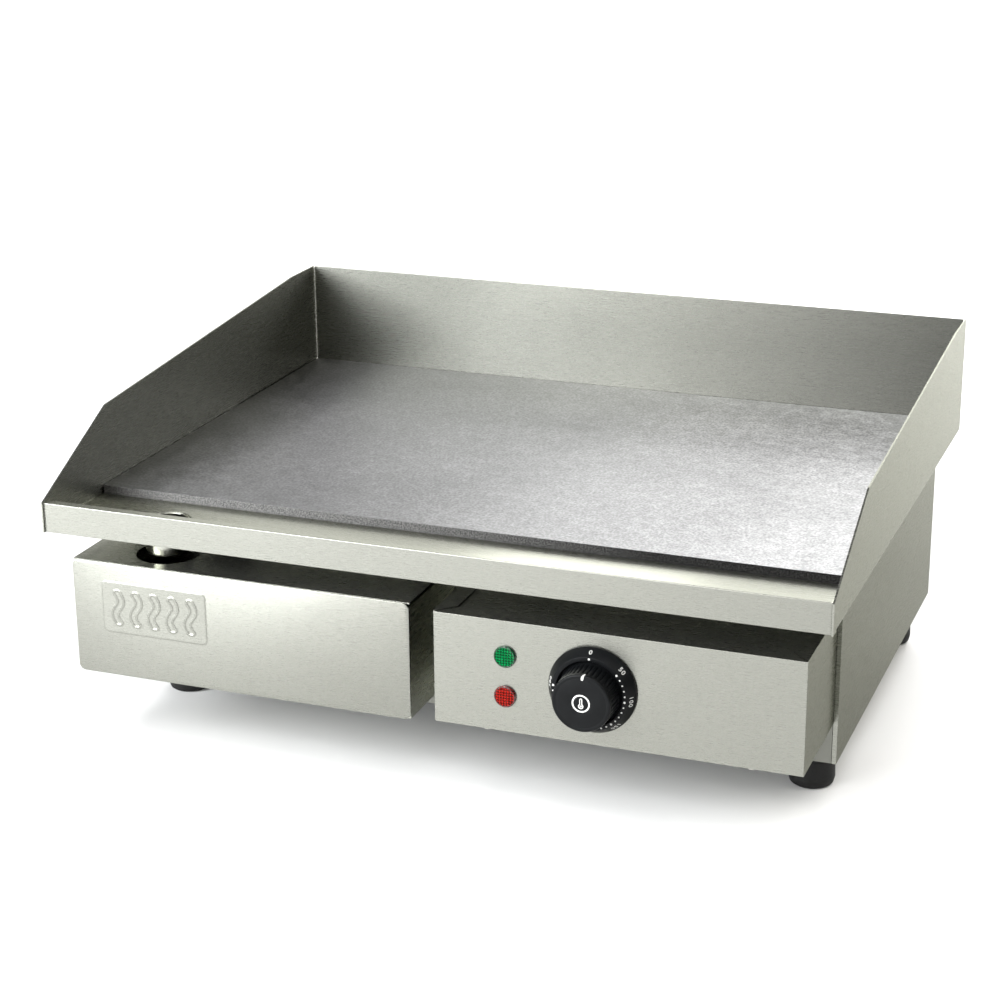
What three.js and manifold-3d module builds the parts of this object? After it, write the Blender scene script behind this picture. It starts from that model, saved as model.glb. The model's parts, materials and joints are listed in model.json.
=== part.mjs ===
// Countertop electric flat top griddle: a steel cooking plate in a splash-guarded tray, on a chassis that
// holds two tubular heating elements, with a control box and a grease drawer hung on its front.
// Millimetres. X runs to the right, Y to the back, Z up. The origin is on the table, under the middle.
import * as THREE from 'three';
import { mergeVertices } from 'three/addons/utils/BufferGeometryUtils.js';
import Module from 'manifold-3d';

const wasm = await Module();
wasm.setup();

// Overall sizes
const overallDepth = 455; // knob cap to the back of the splash guard
const trayWidth = 550;
const trayDepth = 440;
const trayBottom = 161; // lower edge of the tray above the table
const footHeight = 30.4;
const sheet = 1.2; // stainless sheet of the tray and the casings
const gap = 0.3; // clearance between neighbouring pieces

// Tray
const trayBack = overallDepth / 2;
const trayFront = trayBack - trayDepth;
const trayHalf = trayWidth / 2;
const wallInside = trayHalf - sheet;
const wallTop = trayBottom + 89.7;
const wallTopFlat = 43; // level stretch of a side wall's top edge, at the back
const wallBreak = 89; // where the side wall's two slopes meet, behind the lip
const wallBreakTop = trayBottom + 66.3;
const wallProud = 1.5; // how far the side walls stand in front of the lip
const wallFlange = 15;
const bendRadius = 2.5;
const lipTop = trayBottom + 21.2;
const lipDepth = 7;
const cornerGap = 0.6; // between the back wall and a side wall

// Cooking plate
const plateThickness = 8;
const plateSideGap = 0.8;
const plateBottom = trayBottom + sheet + gap;
const plateTop = plateBottom + plateThickness;
const plateFront = trayFront + 78;
const plateBack = trayBack - sheet - gap;
const gutterFloorTop = plateTop - 6;

// Drain
const drainX = -202.5;
const drainY = trayFront + 42.5;
const spoutRadius = 15.7;
const spoutWall = 1.7;
const spoutBottom = 142.4;

// Chassis
const chassisHalf = 261;
const chassisFront = trayFront + 93.5;
const chassisBack = trayFront + 423.6;
const chassisBottom = footHeight + gap;
const chassisTop = trayBottom - gap;
const panelInside = chassisHalf - sheet;
const panelFlange = 14;
const hemThickness = 3;
const hemDepth = 12;
const footRadius = 16;
const footX = 238;
const footInset = 32.5; // foot centre from the chassis's front or back

// Control box
const knobReach = 25; // how far the knob stands in front of the box
const boxLeft = 9;
const boxRight = 258;
const boxFront = -overallDepth / 2 + knobReach;
const boxBack = chassisFront - 1.2;
const boxTop = 138;
const boxBottom = 59.3;
const boxMiddle = (boxTop + boxBottom) / 2;
const boxTab = 12.5; // welded corner tabs on top of the box
const dialX = boxLeft + 110;
const lampX = boxLeft + 50;
const lampSpacing = 28;

// Grease drawer
const drawerLeft = -260.7;
const drawerRight = -8.4;
const drawerTop = 140;
const drawerBottom = 56.9;
const drawerCorner = 5;
const drawerBack = chassisFront - 2;
const hoodHole = 22.5;
const badgeLeft = -238.8;
const badgeWidth = 81;
const badgeTop = 127.3;
const badgeHeight = 38.7;
const badgeProud = 0.8;

const stainless = new THREE.MeshStandardMaterial({ color: 0xc9c9c2, roughness: 0.35, metalness: 1 });
const plateSteel = new THREE.MeshStandardMaterial({ color: 0xb4b4b4, roughness: 0.45, metalness: 1 });
const aluminised = new THREE.MeshStandardMaterial({ color: 0xa9acad, roughness: 0.5, metalness: 1 });
const zincSteel = new THREE.MeshStandardMaterial({ color: 0xb9b6a6, roughness: 0.4, metalness: 1 });
const brass = new THREE.MeshStandardMaterial({ color: 0xb8913f, roughness: 0.35, metalness: 1 });
const copper = new THREE.MeshStandardMaterial({ color: 0xb87348, roughness: 0.35, metalness: 1 });
const blackRubber = new THREE.MeshStandardMaterial({ color: 0x171717, roughness: 0.85 });
const blackPlastic = new THREE.MeshStandardMaterial({ color: 0x1b1b1c, roughness: 0.5 });
const whiteCeramic = new THREE.MeshStandardMaterial({ color: 0xe8e4da, roughness: 0.4 });
const mineralWool = new THREE.MeshStandardMaterial({ color: 0xcbbf9c, roughness: 1 });
const greenLens = new THREE.MeshStandardMaterial({ color: 0x0f9145, roughness: 0.15 });
const redLens = new THREE.MeshStandardMaterial({ color: 0xc2281b, roughness: 0.15 });
const silicone = new THREE.MeshStandardMaterial({ color: 0xa33a2c, roughness: 0.6 });

// A closed three.js geometry as a solid that can be joined and cut.
function solid(shape) {
  if (shape instanceof wasm.Manifold) {
    return shape;
  }
  const bare = shape.clone();
  bare.deleteAttribute('normal');
  bare.deleteAttribute('uv');
  const merged = mergeVertices(bare, 1e-4);
  const vertProperties = new Float32Array(merged.attributes.position.array);
  const triVerts = new Uint32Array(merged.index.array);
  return new wasm.Manifold(new wasm.Mesh({ numProp: 3, vertProperties, triVerts }));
}

function join(...shapes) {
  return shapes.map(solid).reduce((whole, piece) => whole.add(piece));
}

function cut(body, ...tools) {
  return tools.map(solid).reduce((rest, tool) => rest.subtract(tool), solid(body));
}

function geometryOf(shape) {
  if (!(shape instanceof wasm.Manifold)) {
    return shape;
  }
  const { vertProperties, triVerts } = shape.getMesh();
  const geometry = new THREE.BufferGeometry();
  geometry.setAttribute('position', new THREE.BufferAttribute(vertProperties, 3));
  geometry.setIndex(new THREE.BufferAttribute(triVerts, 1));
  return geometry;
}

function addPiece(parent, name, shape, material) {
  const geometry = geometryOf(shape);
  geometry.computeVertexNormals();
  const mesh = new THREE.Mesh(geometry, material);
  mesh.name = name;
  parent.add(mesh);
  return mesh;
}

function slab([x0, x1], [y0, y1], [z0, z1]) {
  const geometry = new THREE.BoxGeometry(x1 - x0, y1 - y0, z1 - z0);
  return geometry.translate((x0 + x1) / 2, (y0 + y1) / 2, (z0 + z1) / 2);
}

function extrude(outline, length, arcSteps = 4) {
  const drawn = outline instanceof THREE.Shape;
  const shape = drawn ? outline : new THREE.Shape(outline.map(([u, v]) => new THREE.Vector2(u, v)));
  return new THREE.ExtrudeGeometry(shape, { depth: length, bevelEnabled: false, curveSegments: arcSteps });
}

const xAxis = new THREE.Vector3(1, 0, 0);
const yAxis = new THREE.Vector3(0, 1, 0);
const zAxis = new THREE.Vector3(0, 0, 1);

// Extrusions of an outline drawn in (Y, Z), (X, Z) or (X, Y).
function alongX(outline, x0, x1, arcSteps) {
  const turn = new THREE.Matrix4().makeBasis(yAxis, zAxis, xAxis);
  return extrude(outline, x1 - x0, arcSteps).applyMatrix4(turn).translate(x0, 0, 0);
}

function alongY(outline, y0, y1, arcSteps) {
  const turn = new THREE.Matrix4().makeBasis(xAxis, zAxis, yAxis.clone().negate());
  return extrude(outline, y1 - y0, arcSteps).applyMatrix4(turn).translate(0, y1, 0);
}

function alongZ(outline, z0, z1, arcSteps) {
  return extrude(outline, z1 - z0, arcSteps).translate(0, 0, z0);
}

function roundedRectangle(x0, x1, y0, y1, radius) {
  const shape = new THREE.Shape();
  shape.moveTo(x0 + radius, y0);
  shape.absarc(x1 - radius, y0 + radius, radius, -Math.PI / 2, 0);
  shape.absarc(x1 - radius, y1 - radius, radius, 0, Math.PI / 2);
  shape.absarc(x0 + radius, y1 - radius, radius, Math.PI / 2, Math.PI);
  shape.absarc(x0 + radius, y0 + radius, radius, Math.PI, Math.PI * 1.5);
  return shape;
}

// A turned piece. The profile lists [radius, height] from the bottom up, and height runs along the axis.
function turned(profile, sides) {
  const points = profile.map(([radius, height]) => new THREE.Vector2(radius, height));
  return new THREE.LatheGeometry(points, sides);
}

function turnedUp(profile, sides) {
  return turned(profile, sides).rotateX(Math.PI / 2);
}

function turnedForward(profile, sides) {
  return turned(profile, sides).rotateX(Math.PI);
}

function turnedBackward(profile, sides) {
  return turned(profile, sides);
}

function pinProfile(radius, low, high) {
  return [[0, low], [radius, low], [radius, high], [0, high]];
}

function ringProfile(inner, outer, low, high) {
  return [[inner, low], [outer, low], [outer, high], [inner, high], [inner, low]];
}

// A path through given points, one extrusion step for each stretch between two points.
class PointPath extends THREE.Curve {
  constructor(points) {
    super();
    this.points = points;
  }

  getPointAt(share, target = new THREE.Vector3()) {
    return target.copy(this.points[Math.round(share * (this.points.length - 1))]);
  }

  getTangentAt(share, target = new THREE.Vector3()) {
    const index = Math.round(share * (this.points.length - 1));
    const here = this.points[index];
    const arriving = here.clone().sub(this.points[Math.max(index - 1, 0)]).normalize();
    const leaving = this.points[Math.min(index + 1, this.points.length - 1)].clone().sub(here).normalize();
    return target.addVectors(arriving, leaving).normalize();
  }
}

// A round rod or tube that runs from corner to corner, with each corner rounded.
function rod(corners, radius, cornerRadius, sides = 8, cornerSteps = 4) {
  const nodes = corners.map(([x, y, z]) => new THREE.Vector3(x, y, z));
  const points = [nodes[0]];
  for (let i = 1; i < nodes.length - 1; i += 1) {
    const before = nodes[i - 1].clone().sub(nodes[i]);
    const after = nodes[i + 1].clone().sub(nodes[i]);
    const wanted = cornerRadius / Math.tan(before.angleTo(after) / 2);
    const trim = Math.min(wanted, before.length() / 2, after.length() / 2);
    const start = nodes[i].clone().addScaledVector(before.normalize(), trim);
    const end = nodes[i].clone().addScaledVector(after.normalize(), trim);
    points.push(...new THREE.QuadraticBezierCurve3(start, nodes[i], end).getPoints(cornerSteps));
  }
  points.push(nodes[nodes.length - 1]);
  const distinct = points.filter((point, i) => i === 0 || point.distanceTo(points[i - 1]) > 0.05);
  const section = new THREE.Shape();
  for (let i = 0; i < sides; i += 1) {
    const angle = (i / sides) * Math.PI * 2;
    const place = [radius * Math.cos(angle), radius * Math.sin(angle)];
    if (i === 0) {
      section.moveTo(...place);
    } else {
      section.lineTo(...place);
    }
  }
  const path = new PointPath(distinct);
  return new THREE.ExtrudeGeometry(section, { steps: distinct.length - 1, extrudePath: path });
}

function sideWall(side) {
  const front = trayFront - wallProud;
  const outline = [
    [front, trayBottom + bendRadius],
    [trayBack, trayBottom + bendRadius],
    [trayBack, wallTop],
    [trayBack - wallTopFlat, wallTop],
    [trayFront + wallBreak, wallBreakTop],
    [front, lipTop],
  ];
  const faces = [side * wallInside, side * trayHalf].sort((a, b) => a - b);
  const wall = alongX(outline, ...faces);
  const skirt = slab(faces, [front, trayFront + lipDepth], [trayBottom, trayBottom + 2 * bendRadius]);
  return join(wall, skirt, wallFoot(side, trayFront + lipDepth - 1, trayBack));
}

// The rounded bend and inward flange at the foot of a side wall, on which the plate rests.
function wallFoot(side, y0, y1) {
  const shape = new THREE.Shape();
  const foot = trayBottom;
  const tip = trayHalf - wallFlange;
  shape.moveTo(tip, foot);
  shape.lineTo(trayHalf - bendRadius, foot);
  shape.absarc(trayHalf - bendRadius, foot + bendRadius, bendRadius, -Math.PI / 2, 0);
  shape.lineTo(trayHalf, foot + 2 * bendRadius);
  shape.lineTo(wallInside, foot + 2 * bendRadius);
  shape.lineTo(wallInside, foot + bendRadius);
  shape.absarc(trayHalf - bendRadius, foot + bendRadius, bendRadius - sheet, 0, -Math.PI / 2, true);
  shape.lineTo(tip, foot + sheet);
  const bend = alongY(shape, y0, y1);
  return side > 0 ? solid(bend) : solid(bend).mirror([1, 0, 0]);
}

function backWall() {
  const half = wallInside - cornerGap;
  const inside = trayBack - sheet;
  const flangeHalf = trayHalf - wallFlange - gap;
  const sheetUp = slab([-half, half], [inside, trayBack], [plateBottom, wallTop]);
  const footDepth = [inside - wallFlange, trayBack];
  const foot = slab([-flangeHalf, flangeHalf], footDepth, [trayBottom, trayBottom + sheet]);
  const riser = slab([-flangeHalf, flangeHalf], [inside, trayBack], [trayBottom, plateBottom + sheet]);
  return join(sheetUp, riser, foot);
}

function gutter() {
  const half = wallInside - gap;
  const inner = trayFront + lipDepth;
  const rear = plateFront - gap;
  const floor = gutterFloorTop;
  const outline = [
    [trayFront, trayBottom],
    [trayFront + sheet, trayBottom],
    [trayFront + sheet, lipTop - sheet],
    [inner - sheet, lipTop - sheet],
    [inner - sheet, floor - sheet],
    [rear, floor - sheet],
    [rear, floor],
    [inner, floor],
    [inner, lipTop],
    [trayFront, lipTop],
  ];
  const hole = turnedUp(pinProfile(spoutRadius + gap, trayBottom, lipTop), 32).translate(drainX, drainY, 0);
  return cut(alongX(outline, -half, half), hole);
}

function addTray(parent) {
  const tray = new THREE.Group();
  addPiece(tray, 'side_wall_left', sideWall(-1), stainless);
  addPiece(tray, 'side_wall_right', sideWall(1), stainless);
  addPiece(tray, 'back_wall', backWall(), stainless);
  addPiece(tray, 'gutter', gutter(), stainless);
  const spoutProfile = ringProfile(spoutRadius - spoutWall, spoutRadius, spoutBottom, gutterFloorTop);
  const spout = addPiece(tray, 'drain_spout', turnedUp(spoutProfile, 32), stainless);
  spout.position.set(drainX, drainY, 0);
  addPiece(tray, 'griddle_plate', griddlePlate(), plateSteel);
  parent.add(tray);
}

// The plate with the threaded studs that are welded to its underside.
function griddlePlate() {
  const half = wallInside - plateSideGap;
  const plate = slab([-half, half], [plateFront, plateBack], [plateBottom, plateTop]);
  const studs = [];
  for (const y of Object.values(barRows)) {
    for (const x of studColumns) {
      studs.push(turnedUp(pinProfile(studRadius, studEnd, plateBottom + 1), 10).translate(x, y, 0));
    }
  }
  return join(plate, ...studs);
}

// Heating: two W-shaped tubular elements pressed up against the plate by three bars.
const elementRadius = 4;
const elementLevel = plateBottom - gap - elementRadius;
const elementFront = trayFront + 120;
const elementBack = 190;
const elementLegs = [62, 118, 174, 230]; // distance of each leg from the middle
const barThickness = 2.5;
const barTop = elementLevel - elementRadius - gap;
const barRows = { front: -40, middle: 60, rear: 150 };
const studColumns = [-202, -90, 90, 202];
const studRadius = 3;
const studEnd = 144;
const nutHeight = 5;

function heatingElement(side) {
  const drop = 18;
  const pinLength = 5;
  const [first, second, third, fourth] = elementLegs.map((distance) => side * distance);
  const turnFront = elementFront + 16;
  const corners = [
    [first, elementFront, elementLevel - drop],
    [first, elementFront, elementLevel],
    [first, elementBack, elementLevel],
    [second, elementBack, elementLevel],
    [second, turnFront, elementLevel],
    [third, turnFront, elementLevel],
    [third, elementBack, elementLevel],
    [fourth, elementBack, elementLevel],
    [fourth, elementFront, elementLevel],
    [fourth, elementFront, elementLevel - drop],
  ];
  const pinProfileDown = pinProfile(1.5, elementLevel - drop - pinLength, elementLevel - drop + 1);
  const pins = [first, fourth].map((x) => turnedUp(pinProfileDown, 8).translate(x, elementFront, 0));
  return join(rod(corners, elementRadius, 28, 8, 4), ...pins);
}

// A bar across both elements, with the nuts that hold it on the plate's studs.
function clampBar(y) {
  const half = 242;
  const width = 20;
  const low = barTop - barThickness;
  const bar = slab([-half, half], [y - width / 2, y + width / 2], [low, barTop]);
  const nuts = studColumns.map((x) => {
    return turnedUp(pinProfile(5.8, low - nutHeight, low + 0.5), 6).translate(x, y, 0);
  });
  const holes = studColumns.map((x) => {
    return turnedUp(pinProfile(studRadius + gap, low - nutHeight - 1, barTop + 1), 12).translate(x, y, 0);
  });
  return cut(join(bar, ...nuts), ...holes);
}

function addHeating(parent) {
  const heating = new THREE.Group();
  addPiece(heating, 'heating_element_left', heatingElement(-1), zincSteel);
  addPiece(heating, 'heating_element_right', heatingElement(1), zincSteel);
  for (const [row, y] of Object.entries(barRows)) {
    addPiece(heating, `clamp_bar_${row}`, clampBar(y), zincSteel);
  }
  addSensor(heating);
  addInsulation(heating);
  parent.add(heating);
}

const bulbRadius = 3;
const bulbFront = 20;
const bulbLength = 90;
const capillaryRadius = 0.9;

function addSensor(parent) {
  const level = plateBottom - gap - bulbRadius;
  const end = bulbFront + bulbLength;
  const bulbProfile = [
    [0, 0],
    [bulbRadius * 0.7, 1],
    [bulbRadius, 3],
    [bulbRadius, bulbLength - 2],
    [0, bulbLength],
  ];
  const bulb = addPiece(parent, 'thermostat_bulb', turnedBackward(bulbProfile, 12), copper);
  bulb.position.set(0, bulbFront, level);

  const saddle = bulbRadius + gap;
  const shape = new THREE.Shape();
  shape.moveTo(-16, plateBottom - gap);
  shape.lineTo(-16, plateBottom - gap - sheet);
  shape.lineTo(-saddle - sheet, plateBottom - gap - sheet);
  shape.lineTo(-saddle - sheet, level);
  shape.absarc(0, level, saddle + sheet, Math.PI, Math.PI * 2);
  shape.lineTo(saddle + sheet, plateBottom - gap - sheet);
  shape.lineTo(16, plateBottom - gap - sheet);
  shape.lineTo(16, plateBottom - gap);
  shape.lineTo(saddle, plateBottom - gap);
  shape.lineTo(saddle, level);
  shape.absarc(0, level, saddle, 0, -Math.PI, true);
  shape.lineTo(-saddle, plateBottom - gap);
  addPiece(parent, 'bulb_clip', alongY(shape, end - 50, end - 36), zincSteel);

  const route = [
    [dialX, boxFront + 30.4, boxMiddle + 11],
    [dialX, chassisFront + 8, boxMiddle + 11],
    [0, chassisFront + 18, boxMiddle + 22],
    [0, chassisFront + 30, level],
    [0, bulbFront - gap, level],
  ];
  addPiece(parent, 'capillary_tube', rod(route, capillaryRadius, 10, 6, 3), copper);
}

function addInsulation(parent) {
  const front = chassisFront + 48;
  const back = chassisBack - 6;
  const half = panelInside - 1.5;
  const shieldTop = 126;
  const blanket = slab([-half + 4, half - 4], [front + 2, back - 2], [shieldTop + gap, studEnd - gap]);
  addPiece(parent, 'insulation_blanket', blanket, mineralWool);
  const edge = 12;
  const outline = [
    [-half, shieldTop - sheet],
    [half, shieldTop - sheet],
    [half, shieldTop + edge],
    [half - sheet, shieldTop + edge],
    [half - sheet, shieldTop],
    [-half + sheet, shieldTop],
    [-half + sheet, shieldTop + edge],
    [-half, shieldTop + edge],
  ];
  addPiece(parent, 'heat_shield', alongY(outline, front, back), aluminised);
}

// A pan-head screw with its head above height 0 and its shank below.
function screw(shankRadius, headRadius, headHeight, length) {
  const profile = [
    [0, -length],
    [shankRadius, -length],
    [shankRadius, 0],
    [headRadius, 0],
    [headRadius, headHeight * 0.55],
    [headRadius * 0.72, headHeight],
    [0, headHeight],
  ];
  return turned(profile, 12);
}

const rearScrewX = 252;
const rearScrewLevels = [50, 95, 140];
const rearScrewShank = 1.8;
const glandX = 200;
const glandZ = 64;
const glandThread = 8;

function rearScrewHoles() {
  const profile = pinProfile(rearScrewShank + gap, chassisBack - 8, chassisBack + 4);
  const holes = [];
  for (const side of [-1, 1]) {
    for (const z of rearScrewLevels) {
      holes.push(turnedBackward(profile, 8).translate(side * rearScrewX, 0, z));
    }
  }
  return holes;
}

function sidePanel(side) {
  const flangeFront = chassisFront + hemDepth;
  const rearFlangeFront = chassisBack - sheet;
  const across = (inner, outer) => [side * inner, side * outer].sort((a, b) => a - b);
  const height = [chassisBottom, chassisTop];
  const main = slab(across(panelInside, chassisHalf), [chassisFront, chassisBack], height);
  const hem = slab(across(chassisHalf - hemThickness, chassisHalf), [chassisFront, flangeFront], height);
  const flangeReach = across(chassisHalf - panelFlange, panelInside + 0.5);
  const flangeLength = [flangeFront + 4, rearFlangeFront - sheet - 3 * gap];
  const topFlange = slab(flangeReach, flangeLength, [chassisTop - sheet, chassisTop]);
  const footLevel = chassisBottom + sheet + gap;
  const footFlange = slab(flangeReach, flangeLength, [footLevel, footLevel + sheet]);
  const rearFlange = slab(flangeReach, [rearFlangeFront, chassisBack], height);
  return cut(join(main, hem, topFlange, footFlange, rearFlange), ...rearScrewHoles());
}

// Ventilation slots
const slotHalf = 2.5;
const slotPitch = 22;

const windowX = [boxLeft + 31, boxRight - 28];
const windowZ = [boxMiddle - 20, boxMiddle + 20];

function frontPlate() {
  const half = chassisHalf - hemThickness - gap;
  const plate = slab([-half, half], [chassisFront, chassisFront + sheet], [chassisBottom, chassisTop]);
  const window = slab(windowX, [chassisFront - 5, chassisFront + 5], windowZ);
  return cut(plate, window);
}

function slotRow(count, pitch, makeSlot) {
  return Array.from({ length: count }, (_, i) => makeSlot((i - (count - 1) / 2) * pitch));
}

function rearPanel() {
  const half = panelInside - gap;
  const back = chassisBack - sheet - gap;
  const panel = slab([-half, half], [back - sheet, back], [chassisBottom + sheet + gap, chassisTop]);
  const slotLow = 78;
  const slotHigh = 118;
  const slots = slotRow(10, slotPitch, (x) => {
    const outline = roundedRectangle(x - slotHalf, x + slotHalf, slotLow, slotHigh, slotHalf - 0.01);
    return alongY(outline, back - 5, back + 5, 1);
  });
  const glandHole = turnedBackward(pinProfile(glandThread + gap, back - 5, back + 5), 24);
  return cut(panel, ...slots, glandHole.translate(glandX, 0, glandZ), ...rearScrewHoles());
}

function basePlate() {
  const half = panelInside - gap;
  const thickness = [chassisBottom, chassisBottom + sheet];
  const back = chassisBack - sheet - gap;
  const behindHem = chassisFront + hemDepth + gap;
  const main = slab([-half, half], [behindHem, back], thickness);
  const betweenHems = half - hemThickness + sheet;
  const tongue = slab([-betweenHems, betweenHems], [chassisFront + sheet + gap, behindHem + 1], thickness);
  const plate = join(main, tongue);
  const slotReach = 45;
  const slotMiddle = 47;
  const slots = [];
  for (const x of [-120, 120]) {
    slots.push(...slotRow(6, slotPitch, (offset) => {
      const y = [slotMiddle + offset - slotHalf, slotMiddle + offset + slotHalf];
      const outline = roundedRectangle(x - slotReach, x + slotReach, ...y, slotHalf - 0.01);
      return alongZ(outline, chassisBottom - 3, chassisBottom + 3, 1);
    }));
  }
  const holes = footPlaces().map(([x, y0]) => {
    return turnedUp(pinProfile(footBore, chassisBottom - 3, chassisBottom + 3), 12).translate(x, y0, 0);
  });
  const earthHole = turnedUp(pinProfile(earthRadius + gap, 25, 38), 12).translate(earthX, earthY, 0);
  return cut(plate, ...slots, ...holes, earthHole);
}

const footBore = 2.8;
const earthX = 200;
const earthY = -90;
const earthRadius = 2.5;

function footPlaces() {
  const front = chassisFront + footInset;
  const rear = chassisBack - footInset;
  return [[-footX, front], [footX, front], [-footX, rear], [footX, rear]];
}

function addChassis(parent) {
  const chassis = new THREE.Group();
  addPiece(chassis, 'side_panel_left', sidePanel(-1), stainless);
  addPiece(chassis, 'side_panel_right', sidePanel(1), stainless);
  addPiece(chassis, 'front_plate', frontPlate(), stainless);
  addPiece(chassis, 'rear_panel', rearPanel(), stainless);
  addPiece(chassis, 'base_plate', basePlate(), stainless);

  const recess = 7;
  const recessRadius = 7;
  const footProfile = [
    [recessRadius, 0],
    [footRadius - 3.5, 0],
    [footRadius - 1.2, 1.2],
    [footRadius, 4.5],
    [footRadius - 0.6, footHeight],
    [footBore, footHeight],
    [footBore, recess],
    [recessRadius, recess],
    [recessRadius, 0],
  ];
  // Each foot's screw goes up from the recess through the base plate.
  const corners = ['front_left', 'front_right', 'rear_left', 'rear_right'];
  footPlaces().forEach(([x, y], i) => {
    const foot = addPiece(chassis, `foot_${corners[i]}`, turnedUp(footProfile, 28), blackRubber);
    foot.position.set(x, y, 0);
    const footScrew = screw(2.5, 5.2, 3, footHeight).rotateX(-Math.PI / 2);
    addPiece(chassis, `foot_screw_${corners[i]}`, footScrew, zincSteel).position.set(x, y, recess - gap);
  });
  addGland(chassis);
  parent.add(chassis);
}

// The hollow gland that the mains lead goes through, and its nut inside the rear panel.
function addGland(parent) {
  const bore = 5;
  const outside = chassisBack - sheet - gap;
  const inside = outside - sheet;
  const flange = outside + gap;
  const profile = [
    [bore, inside - 9],
    [glandThread, inside - 9],
    [glandThread, flange],
    [12, flange],
    [12, flange + 5],
    [10.5, flange + 5.6],
    [10.5, flange + 12],
    [8, flange + 15.5],
    [bore, flange + 15.5],
    [bore, inside - 9],
  ];
  const gland = addPiece(parent, 'cable_gland', turnedBackward(profile, 24), blackPlastic);
  gland.position.set(glandX, 0, glandZ);
  const nut = turnedBackward(pinProfile(12.5, inside - 5.5, inside - gap), 6);
  const nutBore = turnedBackward(pinProfile(glandThread + gap, inside - 8, inside + 2), 24);
  const glandNut = addPiece(parent, 'gland_nut', cut(nut, nutBore), blackPlastic);
  glandNut.position.set(glandX, 0, glandZ);
}

// Control box
const bushRadius = 4.7;
const shaftRadius = 3;
const bezelRadius = 29.7;
const bezelRise = 8.7;
const bezelFloor = 1.6;
const bezelTopRadius = 25.2;
const bezelMouth = 22.4; // the recess in the dial ring that the knob turns in
const knobRadius = 20.2;
const knobFlange = 21.4;
const knobFront = -overallDepth / 2;
const lampHole = 6;
const lampThread = 5.6;
const lensRadius = 7.5;
const lampLevels = { green: boxMiddle + lampSpacing / 2, red: boxMiddle - lampSpacing / 2 };
const bezelScrewSpacing = 14;

function controlBox() {
  const x = [boxLeft, boxRight];
  const outer = slab(x, [boxFront, boxBack], [boxBottom, boxTop - 0.8]);
  const hollow = slab(
    [boxLeft + sheet, boxRight - sheet],
    [boxFront + sheet, boxBack + 5],
    [boxBottom - 5, boxTop - 0.8 - sheet],
  );
  const tabs = [-1, 1].map((side) => {
    const edge = side < 0 ? boxLeft : boxRight;
    const inner = edge - side * boxTab;
    const outline = [[edge, boxFront], [edge, boxBack], [inner, boxBack], [inner, boxFront + boxTab]];
    return alongZ(side < 0 ? outline.reverse() : outline, boxTop - 1, boxTop);
  });
  const ledgeLevel = [boxBottom + sheet + gap, boxBottom + 2 * sheet + gap];
  const frontLedge = slab([boxLeft + 5, boxRight - 5], [boxFront + 0.5, boxFront + 15], ledgeLevel);
  const sideLedges = [
    slab([boxLeft + 0.5, boxLeft + 13], [boxBack - 20, boxBack], ledgeLevel),
    slab([boxRight - 13, boxRight - 0.5], [boxBack - 20, boxBack], ledgeLevel),
  ];
  const through = (radius, sides) => turnedForward(pinProfile(radius, -6, 6), sides);
  const holes = [
    ...Object.values(lampLevels).map((z) => through(lampHole, 20).translate(lampX, boxFront, z)),
    through(bushRadius + gap, 20).translate(dialX, boxFront, boxMiddle),
    through(2.3, 10).translate(dialX - bezelScrewSpacing, boxFront, boxMiddle),
    through(2.3, 10).translate(dialX + bezelScrewSpacing, boxFront, boxMiddle),
    ...baseScrewHoles(),
  ];
  return cut(join(cut(outer, hollow), ...tabs, frontLedge, ...sideLedges), ...holes);
}

function baseScrewPlaces() {
  return [[boxLeft + 35, boxFront + 7], [boxRight - 35, boxFront + 7]];
}

function baseScrewHoles() {
  const profile = pinProfile(2.2, boxBottom - 4, boxBottom + 7);
  return baseScrewPlaces().map(([x, y]) => turnedUp(profile, 8).translate(x, y, 0));
}

function addControlBox(parent) {
  const box = new THREE.Group();
  addPiece(box, 'control_box', controlBox(), stainless);
  const inset = sheet + gap;
  const baseWidth = [boxLeft + inset, boxRight - inset];
  const base = slab(baseWidth, [boxFront + inset, boxBack], [boxBottom, boxBottom + sheet]);
  addPiece(box, 'control_box_base', cut(base, ...baseScrewHoles()), stainless);
  const sides = ['left', 'right'];
  baseScrewPlaces().forEach(([x, y], i) => {
    const form = screw(1.8, 3.8, 2.4, 7).rotateX(-Math.PI / 2);
    const baseScrew = addPiece(box, `base_screw_${sides[i]}`, form, zincSteel);
    baseScrew.position.set(x, y, boxBottom - gap);
  });
  addThermostat(box);
  addLamps(box);
  addTerminals(box);
  parent.add(box);
}

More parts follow.
